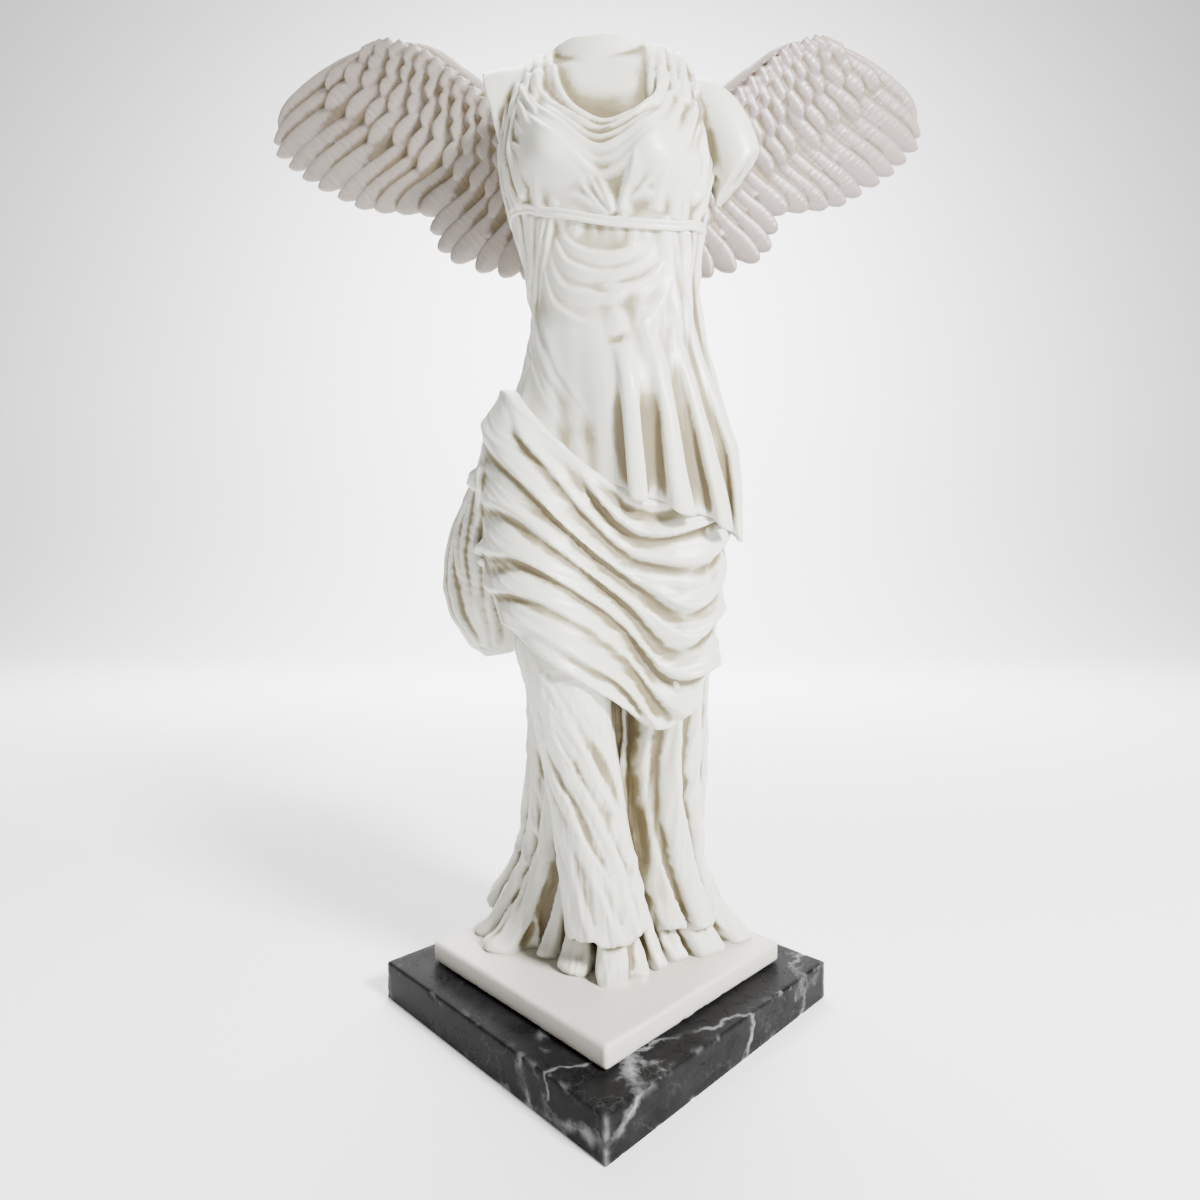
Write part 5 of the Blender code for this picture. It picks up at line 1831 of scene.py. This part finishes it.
def chipped(
    block: bpy.types.Object, side: float, foot: float, height: float, wave: float, chip: float, seed: int
) -> None:
    """Wears a block: its faces are slightly uneven and its edges chipped. Turns it by 45 degrees as well.

    Args:
        block: The block.
        side: The length of its sides.
        foot: The height of its underside.
        height: How tall it is.
        wave: How uneven its faces are.
        chip: How deep its chips are.
        seed: Chooses the pattern.
    """
    surface = Surface(block)
    x, y, z = surface.points.T
    deep_x, deep_y = side / 2 - np.abs(x), side / 2 - np.abs(y)
    gaps = np.sort(np.stack([deep_x, deep_y, np.minimum(z - foot, foot + height - z)]), axis=0)
    edge = np.exp(-((gaps[1] / 1.8) ** 2))
    places = surface.points
    nicks = np.clip(noise(places / 5.0, seed) + 0.5 * noise(places / 1.9, seed + 1) - 0.42, 0, 1)
    surface.shift -= chip * edge * nicks + wave * (noise(places / 26.0, seed + 2) * 0.5 + 0.5)
    surface.press()
    upright = np.maximum(deep_x, deep_y)
    scuffed = np.exp(-((upright / 1.1) ** 2)) * np.clip(0.6 + noise(places / 2.5, seed + 3), 0, 1)
    worn = np.maximum(0.35 * edge * np.clip(nicks * 3.0, 0, 1), scuffed)
    attribute = block.data.attributes.new("worn", "FLOAT", "POINT")
    attribute.data.foreach_set("value", worn.astype(np.float32))
    # The attribute of patina and painted shade is held low and even here, so the slab's finish is only toned
    # a little and gets no painted shade.
    patina_and_shade = block.data.attributes.new("patina_and_shade", "FLOAT", "POINT")
    patina_and_shade.data.foreach_set("value", np.full(len(worn), 0.12, np.float32))
    alone(block)
    block.rotation_euler = (0.0, 0.0, math.radians(45))
    bpy.ops.object.transform_apply(location=True, rotation=True, scale=True)


@dataclass(frozen=True)
class Slab:
    """The square slab that is cast with the figure."""

    side: float = 95.0
    foot: float = 14.3
    height: float = 8.0
    bevel: float = 1.4

    def build(self) -> bpy.types.Object:
        """Makes the slab."""
        piece = square_block("slab", self.side, self.foot, self.height, self.bevel, 1.1)
        chipped(piece, self.side, self.foot, self.height, 0.45, 1.2, 51)
        return piece


@dataclass(frozen=True)
class BlackBase:
    """The base, a flat square block of black marble."""

    side: float = 120.0
    height: float = 14.0
    bevel: float = 0.7

    def build(self) -> bpy.types.Object:
        """Makes the base."""
        piece = square_block("black_base", self.side, 0.0, self.height, self.bevel, 1.2)
        chipped(piece, self.side, 0.0, self.height, 0.0, 1.6, 61)
        return piece


# The studio


@dataclass(frozen=True)
class Studio:
    """A pale floor that curves up behind, soft lights, and the camera."""

    eye: Colour = (0.0, -0.281, 0.154)
    lens: float = 21.75
    shift: float = -0.005
    reach: float = 1.6
    breadth: float = 2.4
    pale: Colour = (0.93, 0.93, 0.93)
    floor_roughness: float = 0.7
    floor_glow: float = 0.26
    sky: float = 0.10
    figure: Colour = (0.0, 0.0, 0.2)
    wall: Colour = (0.0, 2.6, 0.5)
    lights: tuple[tuple[str, Colour, Colour, float, float], ...] = (
        ("key", (0.76, -0.74, 0.86), figure, 0.24, 66.0),
        ("fill", (-0.95, -0.75, 0.45), figure, 0.7, 1.5),
        ("top", (-0.10, 0.60, 1.4), figure, 0.8, 36.0),
        ("backdrop", (0.0, 0.9, 1.4), wall, 1.4, 175.0),
    )

    def build(self) -> None:
        """Makes the studio."""
        self.floor()
        for name, place, target, size, power in self.lights:
            self.light(name, place, target, size, power)
        world = bpy.data.worlds.new("soft_white")
        bpy.context.scene.world = world
        world.use_nodes = True
        background = world.node_tree.nodes["Background"]
        background.inputs["Color"].default_value = (1.0, 1.0, 1.0, 1.0)
        background.inputs["Strength"].default_value = self.sky
        camera = bpy.data.objects.new("camera", bpy.data.cameras.new("camera"))
        camera.data.lens = self.lens
        camera.data.sensor_width = 36.0
        camera.data.shift_x = self.shift
        camera.data.clip_start = 0.01
        camera.location = self.eye
        camera.rotation_euler = (math.radians(90), 0.0, 0.0)
        bpy.context.scene.collection.objects.link(camera)
        bpy.context.scene.camera = camera

    def floor(self) -> None:
        """Makes the floor: a plane whose far edge is extruded along a curve up to a wall."""
        bpy.ops.object.select_all(action="DESELECT")
        bpy.ops.mesh.primitive_plane_add(size=2 * self.reach, location=(0, 0, 0))
        sweep = bpy.context.active_object
        sweep.name = sweep.data.name = "floor"
        bpy.ops.object.mode_set(mode="EDIT")
        bpy.ops.mesh.select_all(action="SELECT")
        bpy.ops.transform.resize(value=(self.breadth, 1.0, 1.0))
        bpy.ops.mesh.select_all(action="DESELECT")
        bpy.ops.object.mode_set(mode="OBJECT")
        far = vertex_array(sweep.data, "co")[:, 1] > 0
        one, other = edge_ends(sweep.data)
        sweep.data.edges.foreach_set("select", far[one] & far[other])
        sweep.data.vertices.foreach_set("select", far)
        bpy.ops.object.mode_set(mode="EDIT")
        steps, step = 12, 0.11
        for k in range(steps):
            turn = math.radians(90 * (k + 0.5) / steps)
            move = (0.0, step * math.cos(turn), step * math.sin(turn))
            bpy.ops.mesh.extrude_region_move(TRANSFORM_OT_translate={"value": move})
        bpy.ops.mesh.extrude_region_move(TRANSFORM_OT_translate={"value": (0.0, 0.0, self.reach)})
        bpy.ops.object.mode_set(mode="OBJECT")
        bpy.ops.object.shade_smooth()
        sweep.data.materials.append(plain("pale_floor", self.pale, self.floor_roughness, self.floor_glow))

    def light(self, name: str, place: Colour, target: Colour, size: float, power: float) -> None:
        """Makes a square light that faces a target."""
        lamp = bpy.data.lights.new(name, "AREA")
        lamp.size = size
        lamp.energy = power
        made = bpy.data.objects.new(name, lamp)
        made.location = place
        made.rotation_euler = (Vector(target) - Vector(place)).to_track_quat("-Z", "Y").to_euler()
        bpy.context.scene.collection.objects.link(made)


def finishes() -> dict[str, bpy.types.Material]:
    """Returns the materials of the object."""
    return {
        "cast": CastMarble("cast_marble", (0.65, 0.645, 0.565), (0.27, 0.242, 0.15)).build(),
        # The wings are the same pale cast as the figure; this finish is a darker copy of it, painted shade.
        "wing": CastMarble("shaded_wing_marble", (0.30, 0.258, 0.226), (0.15, 0.115, 0.088)).build(),
        # A still darker, pinker copy for the wing on the +x side, which faces the key light: more painted
        # shade.
        "shaded_rosy_wing": CastMarble("shaded_rosy_wing_marble", (0.255, 0.21, 0.19), (0.14, 0.103, 0.085)).build(),
        "slab": CastMarble("slab_marble", (0.66, 0.635, 0.57), (0.38, 0.34, 0.26)).build(),
        "black": BlackMarble().build(),
    }


def main() -> None:
    """Builds the statuette on its base, and the studio round it."""
    random.seed(7)
    Studio().build()
    figure = BareFigure()
    chest = Skin(figure.trunk())
    skin = Skin(joined([figure.trunk(), figure.bent_leg(), *figure.straight_legs()]))
    finish = finishes()
    figure_pieces = (
        (DrapedTorso().build(figure, skin), "cast"),
        (Belt().build(chest), "cast"),
        (HipMantle().build(skin), "cast"),
        (Skirt().build(figure), "cast"),
        (Wing(Side.RIGHT, 1.03).build(), "wing"),
        (Wing(Side.LEFT, 0.92).build(), "shaded_rosy_wing"),
        (Slab().build(), "slab"),
    )
    for piece, material in figure_pieces:
        finish_piece(piece, finish[material], [STATUE_NODE])
    finish_piece(BlackBase().build(), finish["black"], [BASE_NODE])


if __name__ == "__main__":
    main()
